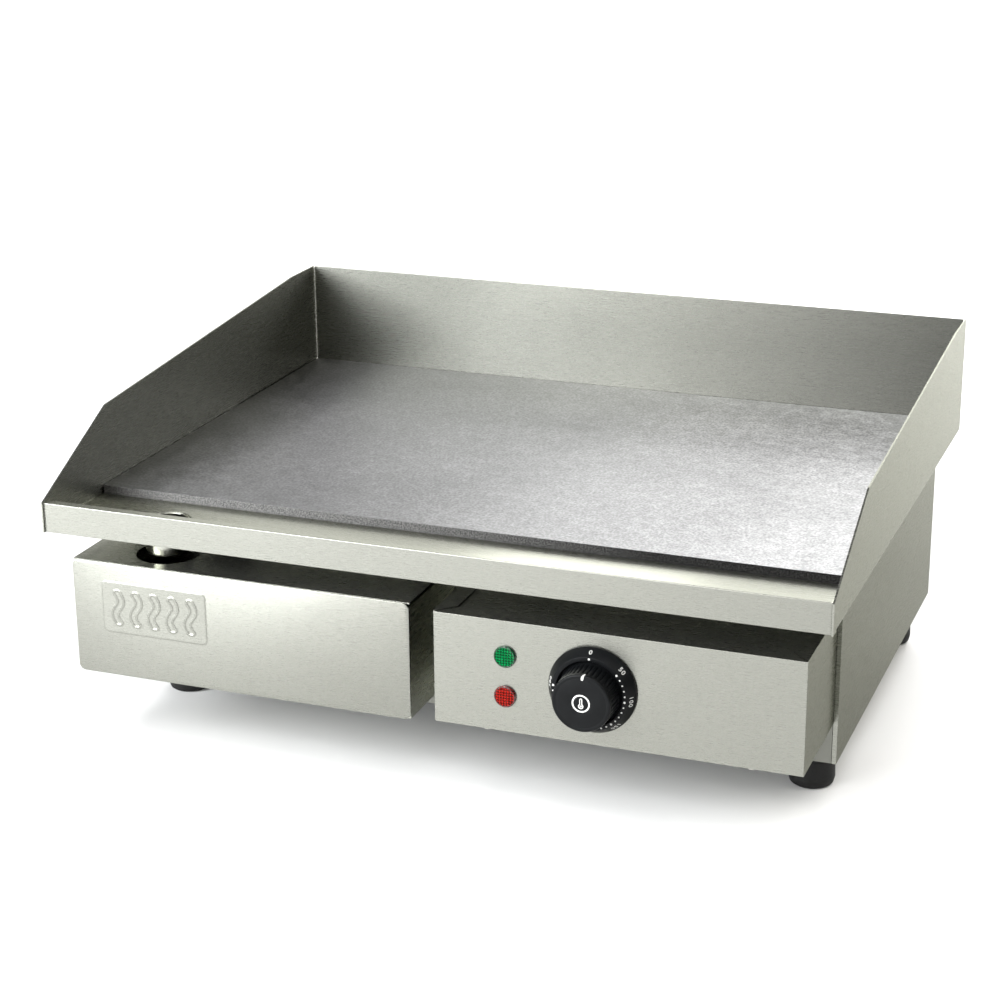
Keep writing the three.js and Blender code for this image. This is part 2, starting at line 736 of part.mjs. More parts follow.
function addThermostat(parent) {
  const mouth = boxFront + sheet + gap;
  const bodyDepth = 28;
  const body = slab([-20, 20], [mouth, mouth + bodyDepth], [-17, 17]);
  const bush = turnedForward(ringProfile(shaftRadius + gap, bushRadius, -mouth - 1, -boxFront + 4.2), 20);
  const well = turnedForward(pinProfile(shaftRadius + gap, -mouth - 8, -mouth + 1), 20);
  const threadProfile = pinProfile(2.1, -mouth - 9, -mouth + 1);
  const threads = [-bezelScrewSpacing, bezelScrewSpacing].map((x) => {
    return turnedForward(threadProfile, 8).translate(x, 0, 0);
  });
  const thermostat = cut(join(body, bush), well, ...threads);
  addPiece(parent, 'thermostat_body', thermostat, zincSteel).position.set(dialX, 0, boxMiddle);

  // A tapered black ring with the temperature scale, fixed to the box by two screws under the knob.
  const bezelBack = boxFront - gap;
  const bezelProfile = [
    [bushRadius + gap, 0],
    [bezelRadius, 0],
    [bezelRadius, bezelFloor],
    [bezelTopRadius, bezelRise],
    [bezelMouth, bezelRise],
    [bezelMouth, bezelFloor],
    [bushRadius + gap, bezelFloor],
    [bushRadius + gap, 0],
  ];
  const bezelHoles = [-1, 1].map((side) => {
    return turnedForward(pinProfile(2.1, -3, 3), 8).translate(side * bezelScrewSpacing, 0, 0);
  });
  const bezel = cut(turnedForward(bezelProfile, 48), ...bezelHoles);
  addPiece(parent, 'dial_bezel', bezel, blackPlastic).position.set(dialX, bezelBack, boxMiddle);

  // The shaft has a flat that the knob's socket fits.
  const shaftFront = knobFront + 6;
  const shaftBack = mouth + 7;
  const round = turnedForward(pinProfile(shaftRadius, -shaftBack, -shaftFront), 20);
  const flat = slab([-5, 5], [shaftFront - 1, shaftFront + 12], [1.6, 5]);
  addPiece(parent, 'thermostat_shaft', cut(round, flat), brass).position.set(dialX, 0, boxMiddle);

  const screwHeadRoom = 2.2;
  const knobBack = bezelBack - bezelFloor - screwHeadRoom;
  const knobProfile = [
    [0, -knobBack],
    [knobFlange, -knobBack],
    [knobFlange, -knobBack + 2.4],
    [knobRadius, -knobBack + 3.6],
    [knobRadius - 0.5, -knobFront - 1.2],
    [knobRadius - 1.7, -knobFront],
    [0, -knobFront],
  ];
  const socket = turnedForward(pinProfile(shaftRadius + gap, -knobBack - 2, -shaftFront + gap), 20);
  const key = slab([-5, 5], [shaftFront - gap - 0.5, shaftFront + 11.5], [1.9, 5]);
  const hollow = turnedForward(ringProfile(bushRadius + 1.2, 18, -knobBack - 2, -knobBack + 3), 24);
  const bushClear = turnedForward(pinProfile(bushRadius + 0.5, -knobBack - 2, -boxFront + 5), 20);
  const knob = cut(turnedForward(knobProfile, 48), cut(socket, key), hollow, bushClear);
  addPiece(parent, 'knob', knob, blackPlastic).position.set(dialX, 0, boxMiddle);
}

function addLamps(parent) {
  const lensProfile = [
    [0, -1],
    [lampThread, -1],
    [lampThread, gap],
    [lensRadius, gap],
    [lensRadius, 1.6],
    [lensRadius - 1.5, 3.4],
    [0, 4.2],
  ];
  const inner = sheet + gap;
  const bodyProfile = [
    [0, -28],
    [4.6, -28],
    [4.6, -22],
    [lampThread, -22],
    [lampThread, -inner],
    [0, -inner],
  ];
  const colours = { green: greenLens, red: redLens };
  for (const [colour, level] of Object.entries(lampLevels)) {
    const lens = addPiece(parent, `lamp_lens_${colour}`, turnedForward(lensProfile, 24), colours[colour]);
    lens.position.set(lampX, boxFront, level);
    const body = addPiece(parent, `lamp_body_${colour}`, turnedForward(bodyProfile, 16), blackPlastic);
    body.position.set(lampX, boxFront, level);
    const nutForm = turnedForward(ringProfile(lampThread + gap, 8.5, -inner - 3, -inner), 16);
    const nut = addPiece(parent, `lamp_nut_${colour}`, nutForm, zincSteel);
    nut.position.set(lampX, boxFront, level);
  }
}

const terminalX = [boxRight - 62, boxRight - 26];
const terminalY = [boxFront + 38, boxFront + 62];

function addTerminals(parent) {
  const floor = boxBottom + sheet + gap;
  const pole = (terminalX[1] - terminalX[0]) / 3;
  const body = slab(terminalX, terminalY, [floor, floor + 17.5]);
  const wells = [];
  for (let i = 0; i < 3; i += 1) {
    for (const y of [terminalY[0] + 6, terminalY[1] - 6]) {
      const well = turnedUp(pinProfile(3, floor + 9, floor + 20), 10);
      wells.push(well.translate(terminalX[0] + pole * (i + 0.5), y, 0));
    }
  }
  addPiece(parent, 'terminal_block', cut(body, ...wells), whiteCeramic);

  // The earth stud clamps the casing's earth lead to the base plate.
  const studProfile = [
    [0, chassisBottom - 3],
    [4.5, chassisBottom - 3],
    [4.5, chassisBottom - gap],
    [earthRadius, chassisBottom - gap],
    [earthRadius, 33],
    [4.6, 33],
    [4.6, 37],
    [earthRadius, 37],
    [earthRadius, 43],
    [0, 43],
  ];
  addPiece(parent, 'earth_stud', turnedUp(studProfile, 12), brass).position.set(earthX, earthY, 0);
}

function addWires(parent) {
  const wiring = new THREE.Group();
  const rear = boxFront + sheet + gap + 28 + gap;
  const lampRear = boxFront + 28.4;
  const blockFace = terminalX[0] - 0.4;
  const blockBack = terminalY[1] + 0.4;
  const inside = chassisFront + 6;
  const pinEnd = elementLevel - 18 - 5.4;
  const [near, , , far] = elementLegs;
  const routes = {
    wire_lamp_green: [
      [lampX, lampRear, lampLevels.green],
      [lampX, lampRear + 17, lampLevels.green],
      [lampX, lampRear + 17, 66],
      [blockFace, lampRear + 17, 66],
    ],
    wire_lamp_red: [
      [lampX, lampRear, lampLevels.red],
      [lampX, lampRear + 11, lampLevels.red],
      [lampX, lampRear + 11, 73],
      [blockFace, lampRear + 11, 73],
    ],
    wire_supply: [
      [blockFace, lampRear + 25, 73],
      [dialX + 31, lampRear + 25, 73],
      [dialX + 8, lampRear + 25, 91],
      [dialX + 8, rear, 91],
    ],
    wire_element_left: [
      [dialX - 11, rear, 103],
      [dialX - 11, inside, 103],
      [-near, inside + 8, 103],
      [-near, elementFront, 118],
      [-near, elementFront, pinEnd],
    ],
    wire_element_right: [
      [dialX + 11, rear, 103],
      [dialX + 11, inside, 103],
      [far, inside + 10, 103],
      [far, elementFront, 112],
      [far, elementFront, pinEnd],
    ],
    wire_neutral_right: [
      [terminalX[0] + 6, blockBack, 70],
      [terminalX[0] + 6, blockBack + 8, 70],
      [terminalX[0] + 6, chassisFront - 5, 91],
      [terminalX[0] + 6, inside + 8, 91],
      [near, inside + 14, 91],
      [near, elementFront, 100],
      [near, elementFront, pinEnd],
    ],
    wire_neutral_left: [
      [terminalX[0] + 30, blockBack, 70],
      [terminalX[0] + 30, blockBack + 8, 70],
      [terminalX[0] + 30, chassisFront - 5, 84],
      [terminalX[0] + 30, inside + 2, 84],
      [-far, inside + 2, 84],
      [-far, elementFront, 95],
      [-far, elementFront, pinEnd],
    ],
    wire_earth: [
      [terminalX[0] + 18, blockBack, 67],
      [terminalX[0] + 18, blockBack + 7, 67],
      [terminalX[0] + 18, chassisFront - 5, 81],
      [terminalX[0] + 18, inside, 81],
      [earthX, earthY, 62],
      [earthX, earthY, 43.4],
    ],
  };
  for (const [name, route] of Object.entries(routes)) {
    addPiece(wiring, name, rod(route, 1.3, 9, 6, 3), silicone);
  }
  parent.add(wiring);
}

// Grease drawer. A fixed hood closes it from above, and its side flanges hang in two rails under the hood.
const panTop = drawerTop - sheet - 1.6;
const panFlange = 8;
const railFoot = panTop - sheet - gap;

function drawerPan() {
  const left = drawerLeft + gap;
  const right = drawerRight - gap;
  const front = boxFront + sheet + gap;
  const floor = drawerBottom + gap;
  const rearTop = railFoot - sheet - 3;
  const outer = slab([left, right], [front, drawerBack], [floor, panTop]);
  const hollow = slab(
    [left + sheet, right - sheet],
    [front + sheet, drawerBack - sheet],
    [floor + sheet, panTop - sheet],
  );
  const mouth = slab(
    [left + sheet + panFlange, right - sheet - panFlange],
    [front + sheet, drawerBack + 5],
    [rearTop, panTop + 5],
  );
  const railWay = slab(
    [left + sheet, right - sheet],
    [drawerBack - sheet - 1, drawerBack + 5],
    [rearTop, panTop - sheet],
  );
  return cut(outer, hollow, mouth, railWay);
}

function drawerRail(side) {
  const edge = side < 0 ? drawerLeft + gap : drawerRight - gap;
  const at = (distance) => edge - side * distance;
  const weld = drawerTop - sheet - gap;
  const web = sheet + panFlange + gap;
  const outline = [
    [at(sheet + 1), railFoot - sheet],
    [at(web + sheet), railFoot - sheet],
    [at(web + sheet), weld - sheet],
    [at(web + sheet + 9), weld - sheet],
    [at(web + sheet + 9), weld],
    [at(web), weld],
    [at(web), railFoot],
    [at(sheet + 1), railFoot],
  ];
  return alongY(side > 0 ? outline : outline.reverse(), boxFront + 5, chassisFront - gap);
}

function drawerHood() {
  const front = boxFront + sheet + gap;
  const top = slab([drawerLeft, drawerRight], [front, chassisFront - gap], [drawerTop - sheet, drawerTop]);
  const holeProfile = pinProfile(hoodHole, drawerTop - 5, drawerTop + 5);
  const hole = turnedUp(holeProfile, 40).translate(drainX, drainY, 0);
  const flange = slab(
    [drawerLeft + 30, drawerRight - 30],
    [chassisFront - gap - sheet, chassisFront - gap],
    [drawerTop - sheet, drawerTop + 14],
  );
  return cut(join(top, flange), hole);
}

function drawerFront() {
  const panel = alongY(
    roundedRectangle(drawerLeft, drawerRight, drawerBottom, drawerTop, drawerCorner),
    boxFront,
    boxFront + sheet,
  );
  const badge = alongY(
    roundedRectangle(badgeLeft, badgeLeft + badgeWidth, badgeTop - badgeHeight, badgeTop, 4),
    boxFront - badgeProud,
    boxFront + sheet / 2,
  );
  return join(panel, badge);
}

function addDrawer(parent) {
  const drawer = new THREE.Group();
  addPiece(drawer, 'drawer_pan', drawerPan(), stainless);
  addPiece(drawer, 'drawer_front', drawerFront(), stainless);
  addPiece(drawer, 'drawer_hood', drawerHood(), stainless);
  addPiece(drawer, 'drawer_rail_left', drawerRail(-1), stainless);
  addPiece(drawer, 'drawer_rail_right', drawerRail(1), stainless);
  parent.add(drawer);
}

const griddle = new THREE.Group();
addTray(griddle);
addHeating(griddle);
addChassis(griddle);
addControlBox(griddle);
addWires(griddle);
addDrawer(griddle);

export default griddle;
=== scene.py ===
"""The looks of a countertop flat top griddle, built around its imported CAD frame."""

import json
import math

import bmesh
import bpy
from mathutils import Matrix, Vector


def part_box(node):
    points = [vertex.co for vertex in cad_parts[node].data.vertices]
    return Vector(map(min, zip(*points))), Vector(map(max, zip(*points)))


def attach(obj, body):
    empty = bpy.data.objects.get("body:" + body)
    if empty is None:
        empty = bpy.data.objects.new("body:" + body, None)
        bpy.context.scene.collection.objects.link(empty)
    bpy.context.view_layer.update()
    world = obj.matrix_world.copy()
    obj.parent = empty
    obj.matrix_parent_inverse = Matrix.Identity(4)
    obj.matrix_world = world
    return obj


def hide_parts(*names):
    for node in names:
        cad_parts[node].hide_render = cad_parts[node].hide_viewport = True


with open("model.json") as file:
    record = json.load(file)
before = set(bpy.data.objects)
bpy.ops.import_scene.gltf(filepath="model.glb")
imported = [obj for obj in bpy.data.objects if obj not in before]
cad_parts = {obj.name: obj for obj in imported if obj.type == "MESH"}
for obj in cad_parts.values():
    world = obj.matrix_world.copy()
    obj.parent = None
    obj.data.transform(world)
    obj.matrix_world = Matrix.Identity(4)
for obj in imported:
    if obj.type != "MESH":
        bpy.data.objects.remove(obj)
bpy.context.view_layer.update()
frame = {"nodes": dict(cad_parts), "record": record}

MM = 0.001
nodes = frame["nodes"]


# ---------------------------------------------------------------- materials


class Recipe:
    """A procedural material, with short calls that add nodes to it."""

    def __init__(self, name, **inputs):
        self.material = bpy.data.materials.new(name)
        self.material.use_nodes = True
        self.tree = self.material.node_tree
        self.shader = self.tree.nodes["Principled BSDF"]
        self.place = self.add("ShaderNodeTexCoord").outputs["Object"]
        for socket, value in inputs.items():
            self.feed(self.shader, socket.replace("_", " "), value)

    def add(self, kind, **settings):
        node = self.tree.nodes.new(kind)
        for key, value in settings.items():
            setattr(node, key, value)
        return node

    def feed(self, node, socket, value):
        """Links a socket to an input, or sets the input to a plain value."""
        target = node.inputs[socket]
        if isinstance(value, bpy.types.NodeSocket):
            self.tree.links.new(value, target)
        else:
            target.default_value = value

    def vector_maths(self, operation, first, second):
        node = self.add("ShaderNodeVectorMath", operation=operation)
        self.feed(node, 0, first)
        self.feed(node, 1, second)
        return node.outputs[0]

    def maths(self, operation, first, second=0.0):
        node = self.add("ShaderNodeMath", operation=operation)
        self.feed(node, 0, first)
        self.feed(node, 1, second)
        return node.outputs[0]

    def noise(self, coordinates, scale=1.0, detail=3.0, roughness=0.5, distortion=0.0):
        node = self.add("ShaderNodeTexNoise")
        self.feed(node, "Vector", coordinates)
        self.feed(node, "Scale", scale)
        self.feed(node, "Detail", detail)
        self.feed(node, "Roughness", roughness)
        self.feed(node, "Distortion", distortion)
        return node.outputs["Fac"]

    def fit(self, value, low, high, to_low, to_high):
        """Maps low..high to to_low..to_high, and holds it inside them."""
        node = self.add("ShaderNodeMapRange")
        for socket, given in zip(range(5), (value, low, high, to_low, to_high)):
            self.feed(node, socket, given)
        return node.outputs["Result"]

    def blend(self, factor, first, second):
        node = self.add("ShaderNodeMix", data_type="RGBA")
        self.feed(node, "Factor", factor)
        self.feed(node, 6, first)
        self.feed(node, 7, second)
        return node.outputs[2]

    def bump(self, height, distance, strength=1.0):
        node = self.add("ShaderNodeBump")
        self.feed(node, "Height", height)
        self.feed(node, "Distance", distance)
        self.feed(node, "Strength", strength)
        self.feed(self.shader, "Normal", node.outputs["Normal"])

    def grain_across_x(self):
        """Spreads highlights across the grain: up upright faces, and along Y on level ones."""
        lean = 0.02
        direction = self.add("ShaderNodeCombineXYZ")
        self.feed(direction, 1, lean)
        self.feed(direction, 2, 1)
        self.feed(self.shader, "Tangent", direction.outputs[0])

    def part(self, vector, axis):
        """One coordinate of a vector: 0, 1 or 2 for X, Y or Z."""
        split = self.add("ShaderNodeSeparateXYZ")
        self.feed(split, 0, vector)
        return split.outputs[axis]

    def across(self):
        """The X coordinate in the object."""
        return self.part(self.place, 0)

    def looking(self, axis):
        """How squarely a face looks along one axis, from -1 to 1."""
        normal = self.add("ShaderNodeNewGeometry").outputs["True Normal"]
        return self.part(normal, axis)

    def facing(self, axis):
        """The same, either way along the axis, from 0 to 1."""
        return self.maths("ABSOLUTE", self.looking(axis))

    def product(self, *values):
        """All the values multiplied together."""
        result = values[0]
        for value in values[1:]:
            result = self.maths("MULTIPLY", result, value)
        return result

    def mixture(self, first, second, share):
        """The two values added together, the first by its share and the second by the rest."""
        weighted = self.maths("MULTIPLY", first, share)
        return self.maths("ADD", weighted, self.maths("MULTIPLY", second, 1 - share))

    def scaled(self, colour, factor):
        """A plain colour made lighter or darker by a socket."""
        node = self.add("ShaderNodeVectorMath", operation="SCALE")
        self.feed(node, 0, colour)
        self.feed(node, "Scale", factor)
        return node.outputs[0]


def grey(level, warmth=0.0):
    """A grey with a little red added to it and blue taken away."""
    return (level * (1 + warmth), level, level * (1 - warmth), 1)


STEEL_TINT = (0.99, 1.0, 0.9)


def brushed_steel(
    name, level=0.275, roughness=0.27, streaks=1.0, spread=0.75, painted_side_shading=0.25, glance=0.73, end=1.0
):
    """Satin stainless sheet. Its grain runs along X, and along Y on sideways faces.

    Three shares change its colour and shine: painted_side_shading darkens faces that look to the right,
    as painted shade, and lightens them as painted light when above 1; glance dulls it where it is seen
    at a grazing angle; and end darkens it towards the right end, as painted shade.
    """
    recipe = Recipe(name, Metallic=1.0, Anisotropic=spread)
    recipe.feed(recipe.shader, "Specular Tint", (*[glance * part for part in STEEL_TINT], 1))

    along, across = 130.0, 3600.0
    sideways = recipe.fit(recipe.facing(0), 0.6, 0.8, 0, 1)
    stretch = recipe.blend(sideways, (along, across, across, 1), (across, along, across, 1))
    grain_place = recipe.vector_maths("MULTIPLY", recipe.place, stretch)
    hairlines = recipe.noise(grain_place, 1.0, 4.0, 0.65)
    bands = recipe.noise(grain_place, 0.3, 3.0, 0.6)
    smudges = recipe.noise(recipe.place, 11.0, 3.0, 0.55, 0.4)
    lines = recipe.mixture(hairlines, bands, 0.9)

    swing = 0.045 * streaks
    streaked = recipe.fit(lines, 0.35, 0.65, 1 - swing, 1 + swing)
    # painted shade on faces that look to the right; a share above 1 is painted light there instead
    side_shading_factor = recipe.fit(recipe.looking(0), 0.6, 0.8, 1, painted_side_shading)
    # painted shade: darker towards the right end of the object, down to the share end
    painted_end_shade = recipe.fit(recipe.across(), 0.03, 0.27, 1, end)
    cloud = recipe.fit(smudges, 0.3, 0.7, 0.985, 1.015)
    tone = recipe.product(streaked, side_shading_factor, painted_end_shade, cloud)
    recipe.feed(recipe.shader, "Base Color", recipe.scaled([level * part for part in STEEL_TINT], tone))
    rough = recipe.fit(lines, 0.35, 0.65, roughness - 0.01, roughness + 0.02)
    recipe.feed(recipe.shader, "Roughness", recipe.product(rough, cloud))
    recipe.grain_across_x()
    recipe.bump(lines, 0.01 * MM, 0.05 * streaks)
    return recipe.material


def ground_plate(name):
    """The cooking plate: ground both ways and mottled, brightened to the right with painted light, and
    dark on its cut edge, which painted shade darkens to the right.
    """
    recipe = Recipe(name, Metallic=1.0, Anisotropic=0.8)
    recipe.grain_across_x()
    # painted light: a squared gradient from the left end to the right end that brightens the ground face
    # to the right
    reach = 0.25
    rightness = recipe.fit(recipe.across(), -reach, reach, 0, 1)
    painted_lighting = recipe.product(rightness, rightness)

    lengthwise = recipe.vector_maths("MULTIPLY", recipe.place, (90, 900, 900))
    crosswise = recipe.vector_maths("MULTIPLY", recipe.place, (700, 120, 700))
    long_lines = recipe.noise(lengthwise, 1.0, 4.0, 0.6)
    cross_lines = recipe.noise(crosswise, 1.0, 3.0, 0.6)
    lines = recipe.mixture(long_lines, cross_lines, 0.6)
    mottle = recipe.noise(recipe.place, 95.0, 5.0, 0.7, 0.3)
    speckle = recipe.noise(recipe.place, 550.0, 2.0, 0.6)
    patches = recipe.noise(recipe.place, 9.0, 3.0, 0.5, 0.3)
    shade = recipe.product(
        recipe.fit(lines, 0.35, 0.65, 0.9, 1.1),
        recipe.fit(mottle, 0.3, 0.7, 0.8, 1.2),
        recipe.fit(patches, 0.3, 0.7, 0.9, 1.1),
        recipe.fit(speckle, 0.35, 0.65, 0.75, 1.25),
        recipe.fit(painted_lighting, 0, 1, 0.46, 1.5),
    )
    ground_face = recipe.scaled(grey(0.3)[:3], shade)

    is_edge = recipe.fit(recipe.facing(1), 0.75, 0.95, 0, 1)
    scale = recipe.fit(recipe.noise(recipe.place, 900.0, 3.0, 0.6), 0.4, 0.6, 0, 1)
    # the cut edge is dark with mill scale; its lighter grey at the left end is painted light and its
    # near black at the right is painted shade
    left_edge_lit = recipe.blend(scale, grey(0.08), grey(0.2, 0.02))
    right_edge_shaded = recipe.blend(scale, grey(0.01), grey(0.04, 0.02))
    cut_edge = recipe.blend(recipe.fit(painted_lighting, 0, 0.6, 0, 1), left_edge_lit, right_edge_shaded)
    recipe.feed(recipe.shader, "Base Color", recipe.blend(is_edge, ground_face, cut_edge))
    rough = recipe.fit(mottle, 0.3, 0.7, 0.4, 0.5)
    edge_roughness = recipe.product(is_edge, 0.2)
    recipe.feed(recipe.shader, "Roughness", recipe.maths("ADD", rough, edge_roughness))
    recipe.bump(recipe.maths("ADD", lines, recipe.product(mottle, 0.6)), 0.03 * MM, 0.4)
    return recipe.material


def plain_metal(name, colour, roughness, grain=400.0, swing=0.15):
    """Plated or drawn metal with a fine cloudy finish."""
    recipe = Recipe(name, Metallic=1.0)
    cloud = recipe.noise(recipe.place, grain, 4.0, 0.6)
    patches = recipe.noise(recipe.place, grain / 20, 3.0, 0.5, 0.5)
    shade = recipe.mixture(cloud, patches, 0.5)
    dark = [part * (1 - swing) for part in colour] + [1]
    light = [part * (1 + swing) for part in colour] + [1]
    tone = recipe.fit(shade, 0.35, 0.65, 0, 1)
    rough = recipe.fit(shade, 0.35, 0.65, roughness - 0.05, roughness + 0.08)
    recipe.feed(recipe.shader, "Base Color", recipe.blend(tone, dark, light))
    recipe.feed(recipe.shader, "Roughness", rough)
    recipe.bump(cloud, 0.02 * MM, 0.3)
    return recipe.material


def moulded(name, colour, roughness, grain=1500.0, depth=0.02, shine=0.5):
    """Plastic, rubber or ceramic with a fine moulded grain."""
    recipe = Recipe(name, Specular_IOR_Level=shine)
    pores = recipe.noise(recipe.place, grain, 3.0, 0.6)
    patches = recipe.noise(recipe.place, 70.0, 3.0, 0.55, 0.3)
    dark = [part * 0.8 for part in colour] + [1]
    light = [part * 1.25 for part in colour] + [1]
    tone = recipe.fit(patches, 0.3, 0.7, 0, 1)
    rough = recipe.fit(pores, 0.3, 0.7, roughness - 0.06, roughness + 0.08)
    recipe.feed(recipe.shader, "Base Color", recipe.blend(tone, dark, light))
    recipe.feed(recipe.shader, "Roughness", rough)
    recipe.bump(pores, depth * MM, 0.5)
    return recipe.material


def clear_lens(name, colour):
    """Coloured clear plastic over a reflector, with painted light and painted shade by turns in small
    diamonds, as on a lit faceted window.
    """
    recipe = Recipe(name, Roughness=0.2, Transmission_Weight=0.15, IOR=1.49, Coat_Weight=0.3)
    diamonds_per_metre = 750.0
    turned = recipe.add("ShaderNodeMapping")
    recipe.feed(turned, "Vector", recipe.place)
    recipe.feed(turned, "Rotation", (0, math.radians(45), 0))
    # painted light and painted shade on alternate diamonds, standing in for light on the faceted window
    painted_facet_shade = recipe.add("ShaderNodeTexChecker")
    recipe.feed(painted_facet_shade, "Vector", turned.outputs[0])
    recipe.feed(painted_facet_shade, "Scale", diamonds_per_metre)
    cloud = recipe.noise(recipe.place, 600.0, 2.0, 0.5)
    depth = recipe.mixture(cloud, painted_facet_shade.outputs["Fac"], 0.5)
    tone = recipe.fit(depth, 0.2, 0.8, 0, 1)
    dark = [part * 0.12 for part in colour] + [1]
    recipe.feed(recipe.shader, "Base Color", recipe.blend(tone, dark, [*colour, 1]))
    recipe.bump(depth, 0.02 * MM, 0.2)
    return recipe.material


def fibre_mat(name):
    recipe = Recipe(name, Roughness=0.95, Sheen_Weight=0.3)
    strands = recipe.noise(recipe.place, 500.0, 5.0, 0.7, 2.0)
    tone = recipe.fit(strands, 0.35, 0.65, 0, 1)
    dark, light = (0.42, 0.34, 0.18, 1), (0.72, 0.64, 0.46, 1)
    recipe.feed(recipe.shader, "Base Color", recipe.blend(tone, dark, light))
    recipe.bump(strands, 0.6 * MM, 0.8)
    return recipe.material


def pale_floor(name):
    recipe = Recipe(name, Roughness=0.7, Specular_IOR_Level=0.2)
    wash = recipe.noise(recipe.place, 3.0, 2.0, 0.5)
    recipe.feed(recipe.shader, "Base Color", recipe.blend(wash, grey(0.8), grey(0.82)))
    return recipe.material


# every steel here except the left wall's has painted shade or painted light on faces that look to the
# right
steel = brushed_steel("stainless_brushed")
left_wall_steel = brushed_steel("stainless_left_wall", streaks=0.5, painted_side_shading=1.0)
# painted shade on the right wall's faces that look to the right
right_wall_steel = brushed_steel("stainless_right_wall", streaks=0.5, painted_side_shading=0.3, glance=0.79)
# a lighter copy of the steel as painted light, with painted shade darkening it towards the right end
rear_wall_shaded_steel = brushed_steel("stainless_rear_wall_shaded", level=0.3, streaks=0.5, end=0.47)
# painted shade, a little deeper than on the other steels, on faces that look to the right
chassis_shaded_steel = brushed_steel("stainless_chassis_shaded", streaks=0.7, painted_side_shading=0.2, glance=0.68)
gutter_steel = brushed_steel("stainless_gutter", level=0.26, glance=0.95)
# painted light: a lighter copy of the steel for the drawer pan, lighter still on its faces that look to
# the right
pan_lit_steel = brushed_steel("stainless_pan_lit", level=0.42, painted_side_shading=1.3, glance=1.0)
# painted shade: a darker copy of the steel for the panels, rails and base in the shade under the tray,
# with painted light on their faces that look to the right
inside_shaded_steel = brushed_steel("stainless_inside_shaded", level=0.2, roughness=0.38, streaks=0.6, painted_side_shading=1.2)
polished_steel = brushed_steel("stainless_polished", level=0.45, roughness=0.16, streaks=0.3, spread=0.3)
plate_steel = ground_plate("plate_ground")
zinc = plain_metal("zinc_plated", (0.52, 0.51, 0.47), 0.34)
aluminised = plain_metal("aluminised_sheet", (0.5, 0.52, 0.53), 0.45, grain=150.0)
copper = plain_metal("drawn_copper", (0.72, 0.36, 0.2), 0.3, swing=0.25)
brass = plain_metal("turned_brass", (0.72, 0.52, 0.22), 0.28, swing=0.12)
# the bead's own metal colour, made far lighter than the sheet's as a painted highlight along the bead
weld_metal_highlighted = plain_metal("weld_bead", (0.8, 0.8, 0.76), 0.22, grain=900.0, swing=0.08)
rubber = moulded("black_rubber", (0.008, 0.008, 0.008), 0.6, grain=900.0, depth=0.05, shine=0.25)
plastic = moulded("black_plastic", (0.004, 0.0045, 0.005), 0.36, shine=0.12)
ceramic = moulded("white_ceramic", (0.78, 0.75, 0.68), 0.45, grain=700.0)
sleeve = moulded("silicone_sleeve", (0.36, 0.07, 0.05), 0.5, grain=500.0)
print_white = moulded("printed_white", (0.6, 0.6, 0.58), 0.5, grain=2500.0, depth=0.005)
green_lens = clear_lens("lens_green", (0.0, 0.26, 0.07))
# the rims are the lens plastic made darker, painted shade round the edge of each window
green_rim_shaded = clear_lens("lens_rim_green", (0.0, 0.09, 0.03))
red_lens = clear_lens("lens_red", (0.45, 0.02, 0.012))
# painted shade, as on the green rim
red_rim_shaded = clear_lens("lens_rim_red", (0.16, 0.008, 0.006))
wool = fibre_mat("mineral_wool")
floor_paint = pale_floor("floor_pale")

MATERIAL_OF_SLOT = {
    "stainless": steel,
    "plate_steel": plate_steel,
    "zinc_steel": zinc,
    "aluminised": aluminised,
    "copper": copper,
    "brass": brass,
    "mineral_wool": wool,
    "black_rubber": rubber,
    "black_plastic": plastic,
    "green_lens": green_lens,
    "red_lens": red_lens,
    "ceramic": ceramic,
    "silicone": sleeve,
}


# ---------------------------------------------------------------- mesh helpers

FACE_FRONT = Matrix.Rotation(math.radians(90), 4, "X")  # a form drawn facing up, turned to face -Y
FACE_BACK = Matrix.Rotation(math.radians(-90), 4, "X")


def add_piece(name, form, material, body="root", place=None, sharp_angle=30):
    """Makes a bmesh into a shown piece that rides on a body."""
    if place is not None:
        form.transform(place)
    bmesh.ops.recalc_face_normals(form, faces=form.faces)
    mesh = bpy.data.meshes.new(name)
    form.to_mesh(mesh)
    form.free()
    mesh.shade_smooth()
    mesh.set_sharp_from_angle(angle=math.radians(sharp_angle))
    mesh.materials.append(material)
    piece = bpy.data.objects.new(name, mesh)
    bpy.context.scene.collection.objects.link(piece)
    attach(piece, body)
    return piece


def at(x, y, z):
    return Matrix.Translation((x, y, z))


def skin(form, rows, wrap):
    """Joins neighbouring rows of vertices with quads. A row of one vertex is a pole."""
    for near, far in zip(rows, rows[1:]):
        count = max(len(near), len(far))
        for i in range(count if wrap else count - 1):
            j = (i + 1) % count
            corners = [near[i % len(near)], near[j % len(near)], far[j % len(far)], far[i % len(far)]]
            distinct = list(dict.fromkeys(corners))
            if len(distinct) > 2:
                form.faces.new(distinct)


def rim_of(rows):
    """The outer loop of a grid of vertices, in order."""
    return rows[0] + [row[-1] for row in rows[1:]] + rows[-1][-2::-1] + [row[0] for row in rows[-2:0:-1]]


def lathe(profile, sides=96, radius_at=None):
    """A turned form about Z, from (radius, height) pairs that end on the axis or close on themselves."""
    form = bmesh.new()
    rows = []
    for radius, height in profile:
        if radius == 0:
            rows.append([form.verts.new((0, 0, height))])
            continue
        row = []
        for i in range(sides):
            angle = math.tau * i / sides
            reach = radius_at(radius, height, angle) if radius_at else radius
            row.append(form.verts.new((reach * math.cos(angle), reach * math.sin(angle), height)))
        rows.append(row)
    if profile[0][0] > 0:
        rows.append(rows[0])
    skin(form, rows, wrap=True)
    return form


